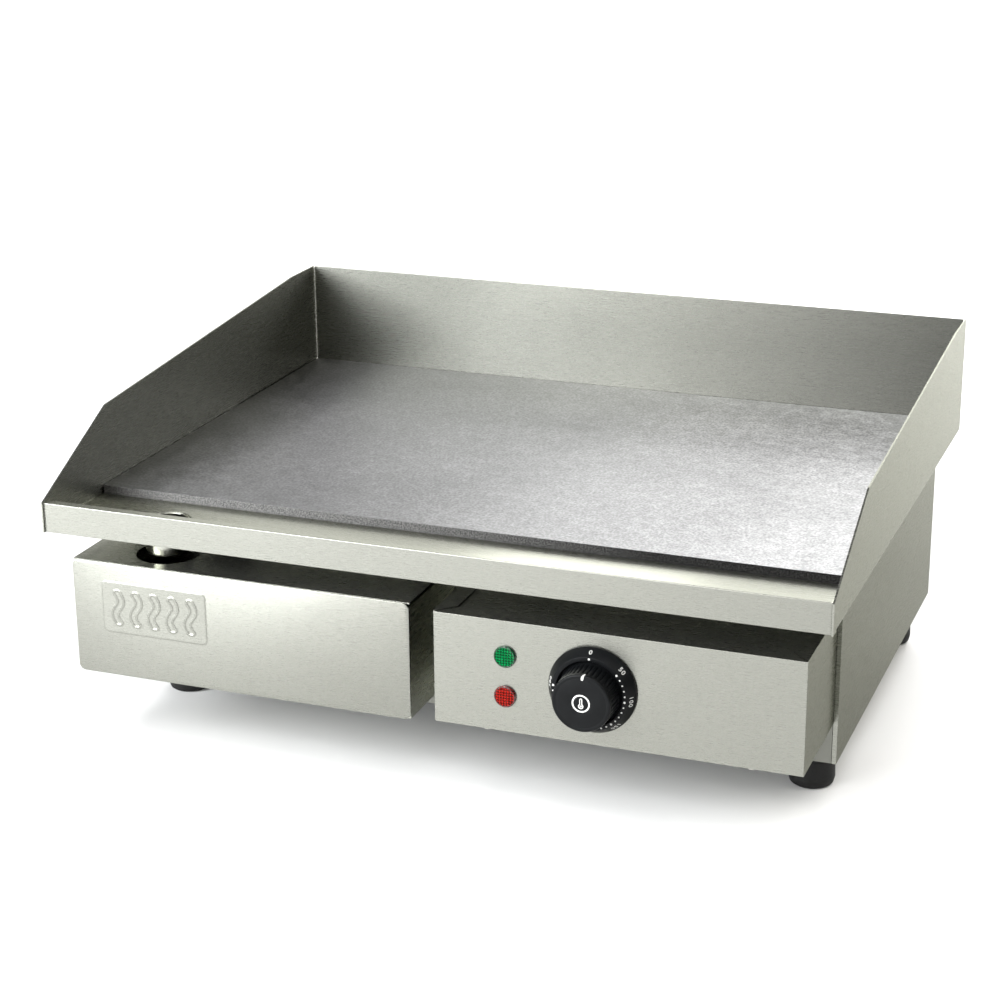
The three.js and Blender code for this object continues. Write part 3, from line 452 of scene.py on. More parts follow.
def rounded(points, radius, steps=4, closed=False):
    """An outline with every corner replaced by an arc, except the two ends of an open one."""
    corners = [Vector(point) for point in points]
    count = len(corners)
    made = [] if closed else [corners[0]]
    for i in range(count) if closed else range(1, count - 1):
        corner = corners[i]
        to_last = corners[i - 1] - corner
        to_next = corners[(i + 1) % count] - corner
        opening = to_last.angle(to_next)
        trim = min(radius / math.tan(opening / 2), to_last.length * 0.49, to_next.length * 0.49)
        to_last.normalize()
        to_next.normalize()
        reach = trim / math.cos(opening / 2)
        centre = corner + (to_last + to_next).normalized() * reach
        first = corner + to_last * trim - centre
        last = corner + to_next * trim - centre
        turn = math.pi - opening
        for step in range(steps + 1):
            share = step / steps
            weights = math.sin((1 - share) * turn), math.sin(share * turn)
            made.append(centre + (first * weights[0] + last * weights[1]) / math.sin(turn))
    if not closed:
        made.append(corners[-1])
    return [tuple(point) for point in made]


def pad(width, height, corner, layers, steps=8):
    """A rounded rectangle in stacked layers, each an (inset, level) pair, from the bottom up."""
    form = bmesh.new()
    rows = []
    for inset, level in layers:
        right, top = width / 2 - inset, height / 2 - inset
        frame_corners = [(right, -top), (right, top), (-right, top), (-right, -top)]
        outline = rounded(frame_corners, max(corner - inset, 0.05 * MM), steps, closed=True)
        rows.append([form.verts.new((x, y, level)) for x, y in outline])
    skin(form, rows, wrap=True)
    form.faces.new(rows[0])
    form.faces.new(rows[-1])
    return form


def absorb(form, other, place=None):
    """Adds one bmesh's faces to another."""
    if place is not None:
        other.transform(place)
    carrier = bpy.data.meshes.new("carrier")
    other.to_mesh(carrier)
    other.free()
    form.from_mesh(carrier)
    bpy.data.meshes.remove(carrier)


def from_curve(curve):
    """The bmesh of a curve or text block."""
    holder = bpy.data.objects.new("holder", curve)
    bpy.context.scene.collection.objects.link(holder)
    shown = holder.evaluated_get(bpy.context.evaluated_depsgraph_get())
    mesh = bpy.data.meshes.new_from_object(shown)
    form = bmesh.new()
    form.from_mesh(mesh)
    bpy.data.objects.remove(holder)
    bpy.data.curves.remove(curve)
    bpy.data.meshes.remove(mesh)
    bmesh.ops.remove_doubles(form, verts=form.verts, dist=0.001 * MM)
    return form


def flat_art(outlines, thickness):
    """A thin flat form filled between nested outlines."""
    curve = bpy.data.curves.new("art", "CURVE")
    curve.dimensions = "2D"
    curve.fill_mode = "BOTH"
    curve.extrude = thickness / 2
    for outline in outlines:
        spline = curve.splines.new("POLY")
        spline.points.add(len(outline) - 1)
        for point, (x, y) in zip(spline.points, outline):
            point.co = (x, y, 0, 1)
        spline.use_cyclic_u = True
    return from_curve(curve)


def digit_form(character, size, thickness):
    text = bpy.data.curves.new("digit", "FONT")
    text.body = character
    text.size = size
    text.extrude = thickness / 2
    text.align_x = "CENTER"
    text.align_y = "CENTER"
    text.resolution_u = 3
    return from_curve(text)


def circle(radius, centre=(0, 0), sides=48):
    angles = [math.tau * i / sides for i in range(sides)]
    return [(centre[0] + radius * math.cos(a), centre[1] + radius * math.sin(a)) for a in angles]


# ---------------------------------------------------------------- the CAD nodes


def finish_cad_nodes():
    """Gives every CAD node its material, and rounds the cut edges of those that are sheet or bar."""
    edge_of_slot = {
        "stainless": 0.25 * MM,
        "plate_steel": 0.5 * MM,
        "zinc_steel": 0.2 * MM,
        "aluminised": 0.2 * MM,
        "ceramic": 0.4 * MM,
    }
    for row in frame["record"]["subparts"]:
        node = nodes[row["node"]]
        slot = row["material_slot"]
        node.data.materials.clear()
        node.data.materials.append(MATERIAL_OF_SLOT[slot])
        if slot in edge_of_slot:
            weld = node.modifiers.new("weld", "WELD")
            weld.merge_threshold = 0.01 * MM
            bevel = node.modifiers.new("edge", "BEVEL")
            bevel.width = edge_of_slot[slot]
            bevel.segments = 2
            bevel.limit_method = "ANGLE"
            bevel.angle_limit = math.radians(40)
            bevel.use_clamp_overlap = True
            bevel.harden_normals = True
    # these copies of the steel differ in grain and also in painted light and painted shade
    finishes_and_shading = {
        "rear_panel": inside_shaded_steel,
        "base_plate": inside_shaded_steel,
        "front_plate": inside_shaded_steel,
        "drawer_rail_left": inside_shaded_steel,
        "drawer_rail_right": inside_shaded_steel,
        "side_wall_left": left_wall_steel,
        "side_wall_right": right_wall_steel,
        "back_wall": rear_wall_shaded_steel,
        "gutter": gutter_steel,
        "side_panel_left": chassis_shaded_steel,
        "side_panel_right": chassis_shaded_steel,
        "drawer_pan": pan_lit_steel,
    }
    for name, material in finishes_and_shading.items():
        nodes[name].data.materials[0] = material
    nodes["gutter"].modifiers["edge"].width = 0.6 * MM


# ---------------------------------------------------------------- control box


def dial_axis():
    low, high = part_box("knob")
    return (low.x + high.x) / 2, (low.z + high.z) / 2


SCALE_START, SCALE_END = 50, 300  # temperatures; the first stands 50 degrees round from the off mark
SCALE_STEP = 0.908  # degrees of turn for one degree of temperature
PRINT_DEPTH = 0.12 * MM


def scale_angle(temperature):
    """Clockwise from the off mark, in radians."""
    return math.radians(SCALE_START + SCALE_STEP * (temperature - SCALE_START))


def add_dial():
    """The fixed ring behind the knob: a flat rim that slopes to the panel, with its scale."""
    low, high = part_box("dial_bezel")
    axis_x, axis_z = dial_axis()
    outer = (high.x - low.x) / 2
    rise = high.y - low.y
    floor = 1.6 * MM
    rim = 25.2 * MM
    mouth = 22.4 * MM
    bore = 5 * MM
    edge = 0.35 * MM
    place = at(axis_x, high.y, axis_z) @ FACE_FRONT
    corners = [
        (bore, 0),
        (outer, 0),
        (outer, floor),
        (rim, rise),
        (mouth, rise),
        (mouth, floor),
        (bore, floor),
    ]
    dial = add_piece("dial_ring", lathe(rounded(corners, edge, closed=True), 128), plastic, place=place)
    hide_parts("dial_bezel")
    add_dial_dots(place, rise)
    add_dial_numbers(place, (rim, rise), (outer, floor))

    screw_reach = 14 * MM
    shank, sunk = 1.8 * MM, 1.5 * MM
    head, seat = 3.2 * MM, 0.1 * MM
    dome_edge, dome_top = 0.9 * MM, 1.6 * MM
    profile = [
        (0, -sunk),
        (shank, -sunk),
        (shank, seat),
        (head, seat),
        (head - 0.1 * MM, dome_edge),
        (head / 2, dome_top - 0.1 * MM),
        (0, dome_top),
    ]
    for side, name in ((-1, "dial_screw_left"), (1, "dial_screw_right")):
        spot = at(axis_x + side * screw_reach, high.y - floor, axis_z) @ FACE_FRONT
        add_piece(name, lathe(profile, 24), zinc, place=spot)


def add_dial_dots(place, level):
    """A small dot every 10 degrees on the flat rim, and a larger one at off and at each number."""
    dot_circle = 24.1 * MM
    large_dot, small_dot = 0.75 * MM, 0.55 * MM
    marks = bmesh.new()
    for temperature in [None, *range(SCALE_START, SCALE_END + 1, 10)]:
        is_named = temperature is None or temperature % 50 == 0
        angle = 0 if temperature is None else scale_angle(temperature)
        centre = (dot_circle * math.sin(angle), dot_circle * math.cos(angle))
        dot = flat_art([circle(large_dot if is_named else small_dot, centre, 16)], PRINT_DEPTH)
        absorb(marks, dot, at(0, 0, level + PRINT_DEPTH * 0.1))
    add_piece("dial_dots", marks, print_white, place=place)


def add_dial_numbers(place, slope_top, slope_foot):
    """The numbers round the slope between two (radius, height) points, each digit lying on it."""
    digit_size = 4.7 * MM
    digit_pitch = 2.7 * MM
    down_slope = 4.1 * MM
    slope = (Vector(slope_foot) - Vector(slope_top)).normalized()
    middle = Vector(slope_top) + slope * down_slope
    numbers = bmesh.new()
    for temperature in [0, *range(SCALE_START, SCALE_END + 1, 50)]:
        written = str(temperature)
        centre_angle = scale_angle(temperature) if temperature else 0
        for i, character in enumerate(written):
            angle = centre_angle + (i - (len(written) - 1) / 2) * digit_pitch / middle.x
            outward = Vector((math.sin(angle), math.cos(angle), 0))
            along = Vector((math.cos(angle), -math.sin(angle), 0))
            up = outward * slope.x + Vector((0, 0, slope.y))
            spot = outward * middle.x + Vector((0, 0, middle.y))
            turn = Matrix((along, up, along.cross(up))).transposed().to_4x4()
            digit = digit_form(character, digit_size, PRINT_DEPTH)
            absorb(numbers, digit, Matrix.Translation(spot) @ turn)
    add_piece("dial_numbers", numbers, print_white, place=place)


FLUTES = 40


def add_knob():
    """The fluted cap on its flange, hollow behind, with a shallow dish in its face."""
    low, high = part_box("knob")
    axis_x, axis_z = dial_axis()
    flange = (high.x - low.x) / 2
    print_room = 0.1 * MM
    height = high.y - low.y - print_room
    side = 20.2 * MM
    face = 19.7 * MM
    edge = 1.3 * MM
    dish_radius = 9.5 * MM
    dish_depth = 0.35 * MM
    flute_depth = 0.75 * MM
    flute_low, flute_high = 3.6 * MM, height - 2.6 * MM
    place = at(axis_x, high.y, axis_z) @ FACE_FRONT

    def fluted(radius, level, angle):
        if radius < side * 0.95 or level < flute_low:
            return radius
        fade_in = min((level - flute_low) / (1.5 * MM), 1)
        fade_out = min(max((flute_high - level) / (1.6 * MM), 0), 1)
        groove = (0.5 + 0.5 * math.cos(FLUTES * angle)) ** 3
        return radius - flute_depth * groove * fade_in * fade_out

    grip_steps = 14
    grip_low, grip_high = 3.7 * MM, height - edge
    grip = [
        (side + (face - side) * i / grip_steps, grip_low + (grip_high - grip_low) * i / grip_steps)
        for i in range(grip_steps + 1)
    ]
    shoulder = edge_arc(face, height, edge)[-2::-1]
    dish_steps = 12
    wall_steps = 5
    dish = []
    for i in range(dish_steps):
        sunk = 0.5 - 0.5 * math.cos(math.pi * min(i / wall_steps, 1))
        dish.append((dish_radius * (1 - i / dish_steps), height - dish_depth * sunk))
    hub_bore, hub_level = 3.3 * MM, 15.2 * MM
    inside, ceiling = 18.2 * MM, 2.9 * MM
    flange_edge, flange_top = 0.3 * MM, 2.4 * MM
    ring_groove = 16.9 * MM
    groove_half, groove_depth = 0.3 * MM, 0.1 * MM
    profile = [
        (0, hub_level),
        (hub_bore, hub_level),
        (hub_bore, ceiling),
        (inside, ceiling),
        (inside, 0.2 * MM),
        (inside + 0.2 * MM, 0),
        (flange - flange_edge, 0),
        (flange, flange_edge),
        (flange, flange_top - flange_edge),
        (flange - flange_edge, flange_top),
        (side + 0.2 * MM, 3.2 * MM),
        *grip,
        *shoulder,
        (ring_groove + groove_half, height),
        (ring_groove, height - groove_depth),
        (ring_groove - groove_half, height),
        *dish,
        (0, height - dish_depth),
    ]
    form = lathe(profile, FLUTES * 10, fluted)
    knob = add_piece("knob_grip", form, plastic, "knob", place)
    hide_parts("knob")
    add_pointer(place, height, face, edge)
    add_knob_symbol(place @ at(0, 0, height - dish_depth + 0.01 * MM))


def edge_arc(face, height, edge):
    """The rounded edge of the cap as (radius, height) points, from its face outwards."""
    centre, level = face - edge, height - edge
    turns = [math.radians(15 * i) for i in range(7)]
    return [(centre + edge * math.sin(turn), level + edge * math.cos(turn)) for turn in turns]


def add_pointer(place, height, face, edge):
    """A printed drop that runs over the edge of the cap and narrows as it goes."""
    start = [(face - 3.6 * MM, height), (face - 2.4 * MM, height)]
    end = (face + 0.05 * MM, height - edge - 1.2 * MM)
    path = [*start, *edge_arc(face, height, edge), end]
    across_steps = 4
    above, below = 0.06 * MM, -0.3 * MM
    form = bmesh.new()
    rims = []
    for lift in (above, below):
        rows = []
        for i, (radius, level) in enumerate(path):
            share = i / (len(path) - 1)
            before, after = Vector(path[max(i - 1, 0)]), Vector(path[min(i + 1, len(path) - 1)])
            tangent = (after - before).normalized()
            lifted = Vector((radius, level)) + Vector((-tangent.y, tangent.x)) * lift
            width = (1.9 - 1.1 * share) * MM * (0.55 if i == 0 else 1)
            lean = math.radians(2.5 + 3.5 * share)
            row = []
            for k in range(across_steps + 1):
                angle = lean + (k / across_steps - 0.5) * width / radius
                spot = (lifted.x * math.sin(angle), lifted.x * math.cos(angle), lifted.y)
                row.append(form.verts.new(spot))
            rows.append(row)
        skin(form, rows, wrap=False)
        rims.append(rim_of(rows))
    skin(form, rims, wrap=True)
    add_piece("knob_pointer", form, print_white, "knob", place=place)


def add_knob_symbol(place):
    """A thermometer in a ring, printed in the middle of the cap."""
    ring = [circle(6.05 * MM), circle(5.0 * MM)]
    bulb_centre = (0, -1.9 * MM)
    outside = thermometer_outline(bulb_centre, 1.75 * MM, 0.95 * MM, 3.6 * MM)
    inside = thermometer_outline(bulb_centre, 1.1 * MM, 0.4 * MM, 3.05 * MM)
    icon = flat_art([*ring, outside, inside], PRINT_DEPTH)
    absorb(icon, flat_art([circle(0.62 * MM, bulb_centre, 20)], PRINT_DEPTH))
    add_piece("knob_symbol", icon, print_white, "knob", place=place)


def thermometer_outline(centre, bulb, stem, top):
    """A round bulb with a stem of half-width stem that ends round at height top."""
    neck = math.asin(stem / bulb)
    steps = 24
    points = []
    for i in range(steps + 1):
        angle = math.pi / 2 + neck + (math.tau - 2 * neck) * i / steps
        points.append((centre[0] + bulb * math.cos(angle), centre[1] + bulb * math.sin(angle)))
    cap_steps = 8
    for i in range(cap_steps + 1):
        angle = math.pi * i / cap_steps
        points.append((centre[0] + stem * math.cos(angle), top - stem + stem * math.sin(angle)))
    return points


LAMP_SEAT = 0.35 * MM  # how far the lamp stands off the panel


def add_lamp(colour, material, rim_material):
    """A faceted window in a plain rim."""
    low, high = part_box(f"lamp_lens_{colour}")
    centre_x, centre_z = (low.x + high.x) / 2, (low.z + high.z) / 2
    radius = (high.x - low.x) / 2
    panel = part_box("control_box")[0].y
    place = at(centre_x, panel, centre_z) @ FACE_FRONT
    inner = radius - 1.1 * MM
    rim_top = 2.1 * MM
    chamfer_width, chamfer_drop = 0.5 * MM, 0.6 * MM
    rim_corners = [
        (inner, LAMP_SEAT),
        (radius, LAMP_SEAT),
        (radius, rim_top - chamfer_drop),
        (radius - chamfer_width, rim_top),
        (inner, rim_top),
    ]
    rim_form = lathe(rounded(rim_corners, 0.18 * MM, closed=True), 64)
    window_form = faceted_disc(inner, thickness=1.55 * MM, relief=0.8 * MM)
    lens = add_piece(f"lamp_window_{colour}", window_form, material, place=place)
    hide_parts(f"lamp_lens_{colour}")
    add_piece(f"lamp_rim_{colour}", rim_form, rim_material, place=place)


def faceted_disc(radius, thickness, relief):
    """A low dome covered with small diamond pyramids, closed below."""
    pitch = 1.25 * MM
    dome = 0.45 * MM
    sides = 96
    spread = math.ceil(radius / pitch) + 1
    form = bmesh.new()
    for i in range(-spread, spread):
        for j in range(-spread, spread):
            corners = [((i + a) * pitch, (j + b) * pitch) for a, b in ((0, 0), (1, 0), (1, 1), (0, 1))]
            tip = form.verts.new(((i + 0.5) * pitch, (j + 0.5) * pitch, relief))
            rim = [form.verts.new((x, y, 0)) for x, y in corners]
            for k in range(4):
                form.faces.new((rim[k], rim[(k + 1) % 4], tip))
    bmesh.ops.remove_doubles(form, verts=form.verts, dist=0.01 * MM)
    form.transform(Matrix.Rotation(math.radians(45), 4, "Z"))
    for i in range(sides):
        angle = math.tau * (i + 0.5) / sides
        outward = Vector((math.cos(angle), math.sin(angle), 0))
        reach = radius * math.cos(math.pi / sides)
        bmesh.ops.bisect_plane(
            form,
            geom=[*form.verts, *form.edges, *form.faces],
            plane_co=outward * reach,
            plane_no=outward,
            clear_outer=True,
        )
    for vertex in form.verts:
        reach = vertex.co.xy.length / radius
        vertex.co.z += thickness + dome * (1 - reach * reach)
    border = [edge for edge in form.edges if edge.is_boundary]
    walls = bmesh.ops.extrude_edge_only(form, edges=border)
    lowered = [item for item in walls["geom"] if isinstance(item, bmesh.types.BMVert)]
    for vertex in lowered:
        vertex.co.z = LAMP_SEAT
    bmesh.ops.contextual_create(form, geom=[edge for edge in form.edges if edge.is_boundary])
    return form


# ---------------------------------------------------------------- grease drawer


def smooth(share):
    held = min(max(share, 0), 1)
    return held * held * (3 - 2 * held)


def add_drawer_front():
    low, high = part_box("drawer_front")
    proud = 0.8 * MM
    sheet = 1.2 * MM
    face = low.y + proud
    corner = 5 * MM
    edge = 0.35 * MM
    layers = [(edge, 0), (0, edge), (0, sheet - edge), (edge * 0.3, sheet - edge * 0.3), (edge, sheet)]
    centre = ((low.x + high.x) / 2, (low.z + high.z) / 2)
    place = at(centre[0], face + sheet, centre[1]) @ FACE_FRONT
    form = pad(high.x - low.x, high.z - low.z, corner, layers)
    panel = add_piece("drawer_panel", form, steel, "drawer", place)
    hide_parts("drawer_front")

    badge_width, badge_height = 81 * MM, 38.7 * MM
    left_margin, top_margin = 21.9 * MM, 12.7 * MM
    badge_x = low.x + left_margin + badge_width / 2
    badge_z = high.z - top_margin - badge_height / 2
    relief = badge_form(badge_width, badge_height, proud)
    spot = at(badge_x, face, badge_z) @ FACE_FRONT
    add_piece("drawer_badge", relief, steel, "drawer", spot, sharp_angle=60)


def badge_form(width, height, proud):
    """A pressed pad with five rising heat lines in outline, as one closed relief."""
    step = 0.5 * MM
    corner = 4 * MM
    slope = 1.3 * MM
    pad_level = proud * 0.45
    waves = 5
    wave_pitch = 14 * MM
    wave_half = 10.5 * MM
    swing = 2.4 * MM
    outline_reach = 2.3 * MM
    line_half = 0.85 * MM
    sunk = 0.04 * MM
    skirt = 0.5 * MM
    columns, rows_count = round(width / step), round(height / step)

    def level_at(x, y):
        beyond_x = max(abs(x) - (width / 2 - corner), 0)
        beyond_y = max(abs(y) - (height / 2 - corner), 0)
        inside = corner - math.hypot(beyond_x, beyond_y)
        if beyond_x == 0 and beyond_y == 0:
            inside = corner
        base = pad_level * smooth(inside / slope)
        nearest = 1.0
        for i in range(waves):
            wave_x = (i - (waves - 1) / 2) * wave_pitch
            along = min(max(y, -wave_half), wave_half)
            centre = wave_x + swing * math.sin(math.pi * along / wave_half)
            steepness = swing * math.pi / wave_half * math.cos(math.pi * along / wave_half)
            lean = math.cos(math.atan(steepness))
            distance = math.hypot((x - centre) * lean, y - along)
            nearest = min(nearest, abs(distance - outline_reach))
        ridge = (proud - pad_level) * smooth(1.4 * (1 - nearest / line_half))
        return base + ridge - sunk

    form = bmesh.new()
    top = []
    for j in range(rows_count + 1):
        y = -height / 2 + height * j / rows_count
        xs = [-width / 2 + width * i / columns for i in range(columns + 1)]
        top.append([form.verts.new((x, y, level_at(x, y))) for x in xs])
    skin(form, top, wrap=False)
    rim = rim_of(top)
    foot = [form.verts.new((vertex.co.x, vertex.co.y, -skirt)) for vertex in rim]
    skin(form, [rim, foot], wrap=True)
    form.faces.new(foot)
    return form


# ---------------------------------------------------------------- tray and chassis


def add_spout():
    low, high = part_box("drain_spout")
    radius = (high.x - low.x) / 2
    wall = 1.7 * MM
    corners = [(radius - wall, low.z), (radius, low.z), (radius, high.z), (radius - wall, high.z)]
    profile = rounded(corners, 0.55 * MM, 5, closed=True)
    place = at((low.x + high.x) / 2, (low.y + high.y) / 2, 0)
    spout = add_piece("spout_tube", lathe(profile, 96), polished_steel, place=place)
    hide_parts("drain_spout")


def add_bead(name, spot, rise, radius, material):
    """An upright weld bead with the ripple of a hand-run weld."""
    ripple = 1.6 * MM
    rings = 120
    sides = 10
    form = bmesh.new()
    rows = []
    for i in range(rings + 1):
        level = rise * i / rings
        is_end = i in (0, rings)
        reach = radius * (1 + 0.05 * math.sin(math.tau * level / ripple)) * (0.55 if is_end else 1)
        rows.append([form.verts.new((x, y, level)) for x, y in circle(reach, sides=sides)])
    skin(form, rows, wrap=True)
    form.faces.new(rows[0])
    form.faces.new(rows[-1])
    add_piece(name, form, material, place=at(*spot), sharp_angle=60)


def add_corner_welds():
    """A bead up each rear corner of the splash guard, and one at each end of the gutter's lip."""
    wall_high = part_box("back_wall")[1]
    plate_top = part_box("griddle_plate")[1].z
    lip_low, lip_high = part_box("gutter")
    corner_bead = 0.9 * MM
    lip_bead = 0.6 * MM
    lip_gap = 0.3 * MM
    for side, name in ((-1, "left"), (1, "right")):
        rear_corner = (side * (wall_high.x + 0.1 * MM), wall_high.y - 1.5 * MM, plate_top + 0.5 * MM)
        rise = wall_high.z - plate_top - 1 * MM
        add_bead(f"corner_weld_{name}", rear_corner, rise, corner_bead, weld_metal_highlighted)
        lip_end = (side * (lip_high.x + lip_gap / 2), lip_low.y + lip_bead * 1.1, lip_low.z + 0.3 * MM)
        add_bead(f"lip_weld_{name}", lip_end, lip_high.z - lip_low.z - 0.6 * MM, lip_bead, gutter_steel)


def add_feet():
    """Four rubber feet, each with a wide tread, a shallow groove near the top and a screw hole."""
    screw_hole = 2.8 * MM
    recess, recess_depth = 7 * MM, 7 * MM
    tread_inset = 3.2 * MM
    toe_inset, toe_level = 1.0 * MM, 1.6 * MM
    belly_level = 5.5 * MM
    neck_inset, top_inset = 0.4 * MM, 0.6 * MM
    groove_level, groove_half, groove_depth = 20.6 * MM, 0.6 * MM, 0.5 * MM
    for row in ("front", "rear"):
        for column in ("left", "right"):
            name = f"foot_{row}_{column}"
            low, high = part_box(name)
            radius = (high.x - low.x) / 2
            neck = radius - neck_inset
            corners = [
                (recess, 0),
                (radius - tread_inset, 0),
                (radius - toe_inset, toe_level),
                (radius, belly_level),
                (neck, groove_level - groove_half),
                (neck - groove_depth, groove_level),
                (neck, groove_level + groove_half),
                (radius - top_inset, high.z),
                (screw_hole, high.z),
                (screw_hole, recess_depth),
                (recess, recess_depth),
            ]
            profile = rounded(corners, 1.2 * MM, 4, closed=True)
            place = at((low.x + high.x) / 2, (low.y + high.y) / 2, 0)
            form = lathe(profile, 72)
            foot = add_piece(f"{name}_rubber", form, rubber, place=place)
            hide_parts(name)


def add_rear_screws():
    """Six pan-head screws in the rear panel's edge, each with a cross recess."""
    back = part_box("side_panel_right")[1].y
    across = 252 * MM
    clearance = 0.02 * MM
    head_radius, head_height = 3.8 * MM, 2.2 * MM
    for level in (50, 95, 140):
        for side, name in ((-1, "left"), (1, "right")):
            place = at(side * across, back + clearance, level * MM) @ FACE_BACK
            form = cross_head(head_radius, head_height)
            add_piece(f"rear_screw_{name}_{level}", form, zinc, place=place)


def cross_head(radius, height):
    """A pan head with a cross-shaped recess sunk in its middle."""
    corners = [(0, 0), (radius, 0), (radius, height * 0.55), (radius * 0.62, height), (0, height)]
    form = lathe(rounded(corners, 0.5 * MM, 5), 48)
    slot_half, slot_reach, sink = 0.38 * MM, 2.0 * MM, 1.1 * MM
    cutter = bmesh.new()
    for turn in (0, math.radians(90)):
        bar = pad(2 * slot_reach, 2 * slot_half, 0.1 * MM, [(0, height - sink), (0, height + 1 * MM)], 2)
        absorb(cutter, bar, Matrix.Rotation(turn, 4, "Z"))
    return carved(form, cutter)


def carved(form, cutter):
    """One form with another cut out of it."""
    holders = []
    for part in (form, cutter):
        bmesh.ops.recalc_face_normals(part, faces=part.faces)
        mesh = bpy.data.meshes.new("carving")
        part.to_mesh(mesh)
        part.free()
        holder = bpy.data.objects.new("carving", mesh)
        bpy.context.scene.collection.objects.link(holder)
        holders.append(holder)
    body, tool = holders
    cut = body.modifiers.new("cut", "BOOLEAN")
    cut.operation = "DIFFERENCE"
    cut.solver = "EXACT"
    cut.use_self = True
    cut.object = tool
    shown = body.evaluated_get(bpy.context.evaluated_depsgraph_get())
    result = bmesh.new()
    carved_mesh = bpy.data.meshes.new_from_object(shown)
    result.from_mesh(carved_mesh)
    bpy.data.meshes.remove(carved_mesh)
    for holder in holders:
        mesh = holder.data
        bpy.data.objects.remove(holder)
        bpy.data.meshes.remove(mesh)
    return result


def add_gland():
    """The ribbed nylon gland in the rear panel."""
    low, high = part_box("cable_gland")
    centre_x, centre_z = (low.x + high.x) / 2, (low.z + high.z) / 2
    length = high.y - low.y
    flange = 12 * MM
    bore = 5 * MM
    thread, thread_depth = 8 * MM, 0.45 * MM
    root = thread - thread_depth
    head_length, tip_clearance = 15.4 * MM, 0.1 * MM
    out = length - head_length - tip_clearance
    cap = flange - 1.5 * MM
    cap_start, cap_end = out + 6.2 * MM, out + 12 * MM
    ribs = 24
    rib_start, rib_end, rib_depth = out + 6 * MM, out + 12.5 * MM, 0.5 * MM

    def ribbed(radius, level, angle):
        if not rib_start < level < rib_end or radius < thread * 1.1:
            return radius
        return radius - rib_depth * (0.5 + 0.5 * math.cos(ribs * angle))

    thread_turns = 7
    thread_start, thread_rise = 0.6 * MM, 0.3 * MM
    thread_length = out - thread_start - 0.8 * MM
    ridges = []
    for i in range(thread_turns):
        level = thread_start + thread_length * i / (thread_turns - 1)
        ridges += [(root, level - thread_rise), (thread, level)]
    corners = [
        (bore, 0),
        (thread - 0.6 * MM, 0),
        *ridges,
        (root, out - thread_rise),
        (root, out),
        (flange, out),
        (flange, out + 4.6 * MM),
        (cap + 0.1 * MM, out + 5.4 * MM),
        (cap, cap_start),
        (cap, out + 8 * MM),
        (cap, out + 10 * MM),
        (cap - 0.1 * MM, cap_end),
        (cap - 1.1 * MM, cap_end + 2 * MM),
        (bore + 1.6 * MM, out + head_length),
        (bore, out + head_length),
    ]
    place = at(centre_x, low.y, centre_z) @ FACE_BACK
    form = lathe(corners, ribs * 8, ribbed)
    gland = add_piece("gland_body", form, plastic, place=place)
    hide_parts("cable_gland")


# ---------------------------------------------------------------- studio


def add_floor():
    form = bmesh.new()
    bmesh.ops.create_grid(form, x_segments=8, y_segments=8, size=9)
    mesh = bpy.data.meshes.new("studio_floor")
    form.to_mesh(mesh)
    form.free()
    mesh.materials.append(floor_paint)
    floor = bpy.data.objects.new("studio_floor", mesh)
    bpy.context.scene.collection.objects.link(floor)


COOL = (0.98, 1.0, 1.01)
WARM = (1.02, 1.0, 0.94)


def add_softbox(name, spot, target, width, height, power, tint=(1, 1, 1), spread=180):
    light = bpy.data.lights.new(name, "AREA")
    light.spread = math.radians(spread)
    light.shape = "RECTANGLE"
    light.size = width
    light.size_y = height
    light.energy = power
    light.color = tint
    holder = bpy.data.objects.new(name, light)
    holder.location = spot
    holder.rotation_euler = (Vector(target) - Vector(spot)).to_track_quat("-Z", "Y").to_euler()
    holder.visible_camera = False
    bpy.context.scene.collection.objects.link(holder)


def add_world(level):
    world = bpy.data.worlds.new("studio")
    world.use_nodes = True
    background = world.node_tree.nodes["Background"]
    background.inputs["Color"].default_value = (level, level, level * 0.99, 1)
    bpy.context.scene.world = world


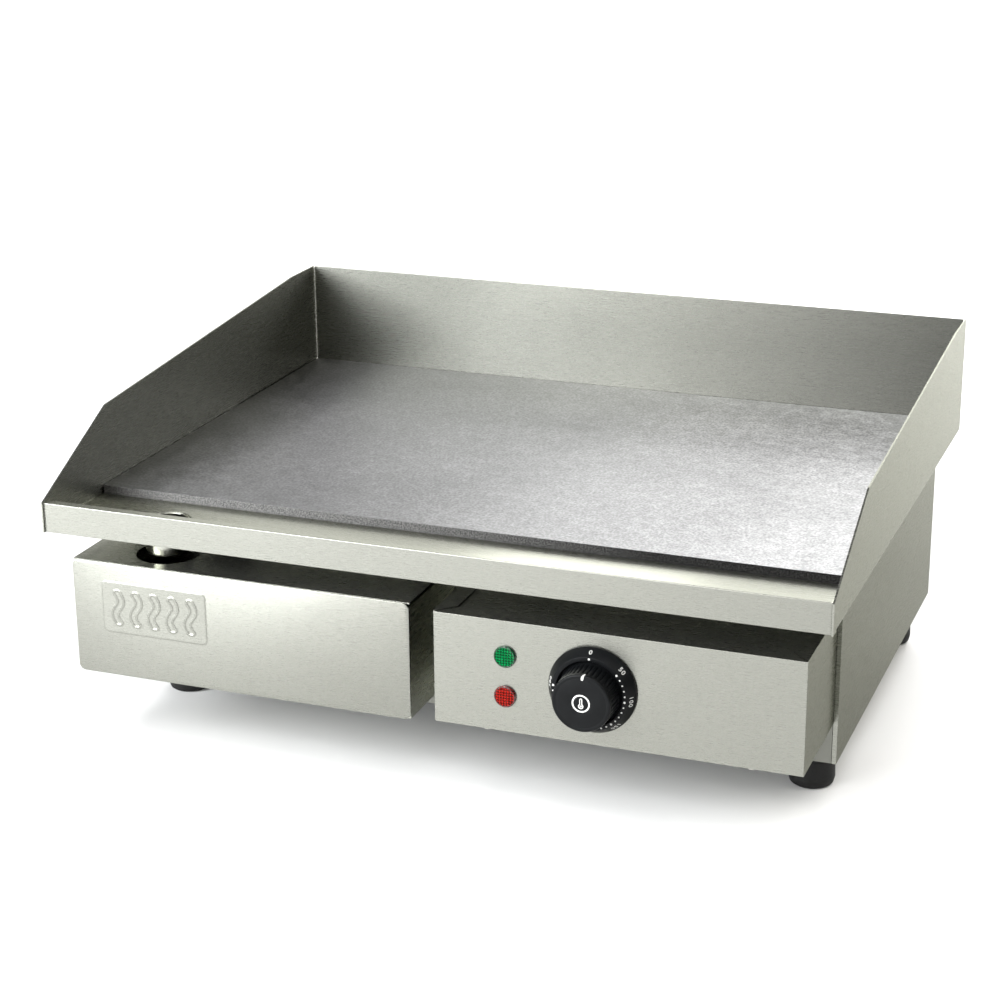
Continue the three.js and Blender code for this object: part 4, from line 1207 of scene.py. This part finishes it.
def add_camera():
    """The view from the front right, a little above the object."""
    azimuth, elevation, roll = (math.radians(angle) for angle in (20.802, 19.079, -0.389))
    spot = (0.53351, -1.45912, 0.6843)
    level = math.cos(elevation)
    back = Vector((math.sin(azimuth) * level, -math.cos(azimuth) * level, math.sin(elevation)))
    right = (-back).cross(Vector((0, 0, 1))).normalized()
    turn = Matrix.Rotation(roll, 3, back)
    right = turn @ right
    up = back.cross(right)
    camera = bpy.data.cameras.new("camera")
    camera.lens = 80.98
    camera.sensor_width = 36
    camera.clip_end = 50
    holder = bpy.data.objects.new("camera", camera)
    holder.matrix_world = at(*spot) @ Matrix((right, up, back)).transposed().to_4x4()
    bpy.context.scene.collection.objects.link(holder)
    bpy.context.scene.camera = holder


add_camera()
finish_cad_nodes()
add_dial()
add_knob()
add_lamp("green", green_lens, green_rim_shaded)
add_lamp("red", red_lens, red_rim_shaded)
add_drawer_front()
add_spout()
add_corner_welds()
add_feet()
add_rear_screws()
add_gland()
add_floor()
add_world(0.01)
aim = (0, 0, 120 * MM)
add_softbox("far_light", (0, 5.4, 4.2), (0, 5.4, 0), width=9, height=6, power=280)
add_softbox("far_floor_light", (-1, 4.2, 2.6), (-1, 4.2, 0), width=7, height=3.2, power=120, spread=80)
add_softbox("top_right_light", (1.9, 0, 2.0), aim, width=1.2, height=2.4, power=49.5, tint=WARM)
add_softbox("top_front_light", (0, -1.6, 2.2), aim, width=2.4, height=1.2, power=48)
add_softbox("edge_light", (-0.85, -1.0, 2.4), aim, width=0.5, height=0.5, power=9)
add_softbox("front_far_left_light", (-2.1, -2.0, 1.1), aim, width=0.8, height=1.6, power=60, tint=COOL)
add_softbox("front_left_light", (-1.4, -2.2, 1.1), aim, width=1.0, height=1.6, power=74, tint=COOL)
add_softbox("front_middle_light", (-0.6, -2.3, 1.1), aim, width=0.8, height=1.6, power=20)
add_softbox("back_left_light", (-1.3, 2.3, 0.95), aim, width=0.8, height=1.3, power=5.4)
add_softbox("back_middle_light", (-0.7, 2.3, 0.95), aim, width=0.4, height=1.3, power=9.8)
add_softbox("back_centre_light", (-0.25, 2.3, 0.95), aim, width=0.4, height=1.3, power=4.9)
add_softbox("back_right_light", (0.3, 2.3, 0.95), aim, width=0.6, height=1.3, power=49.5)
bpy.context.scene.view_settings.view_transform = "Standard"
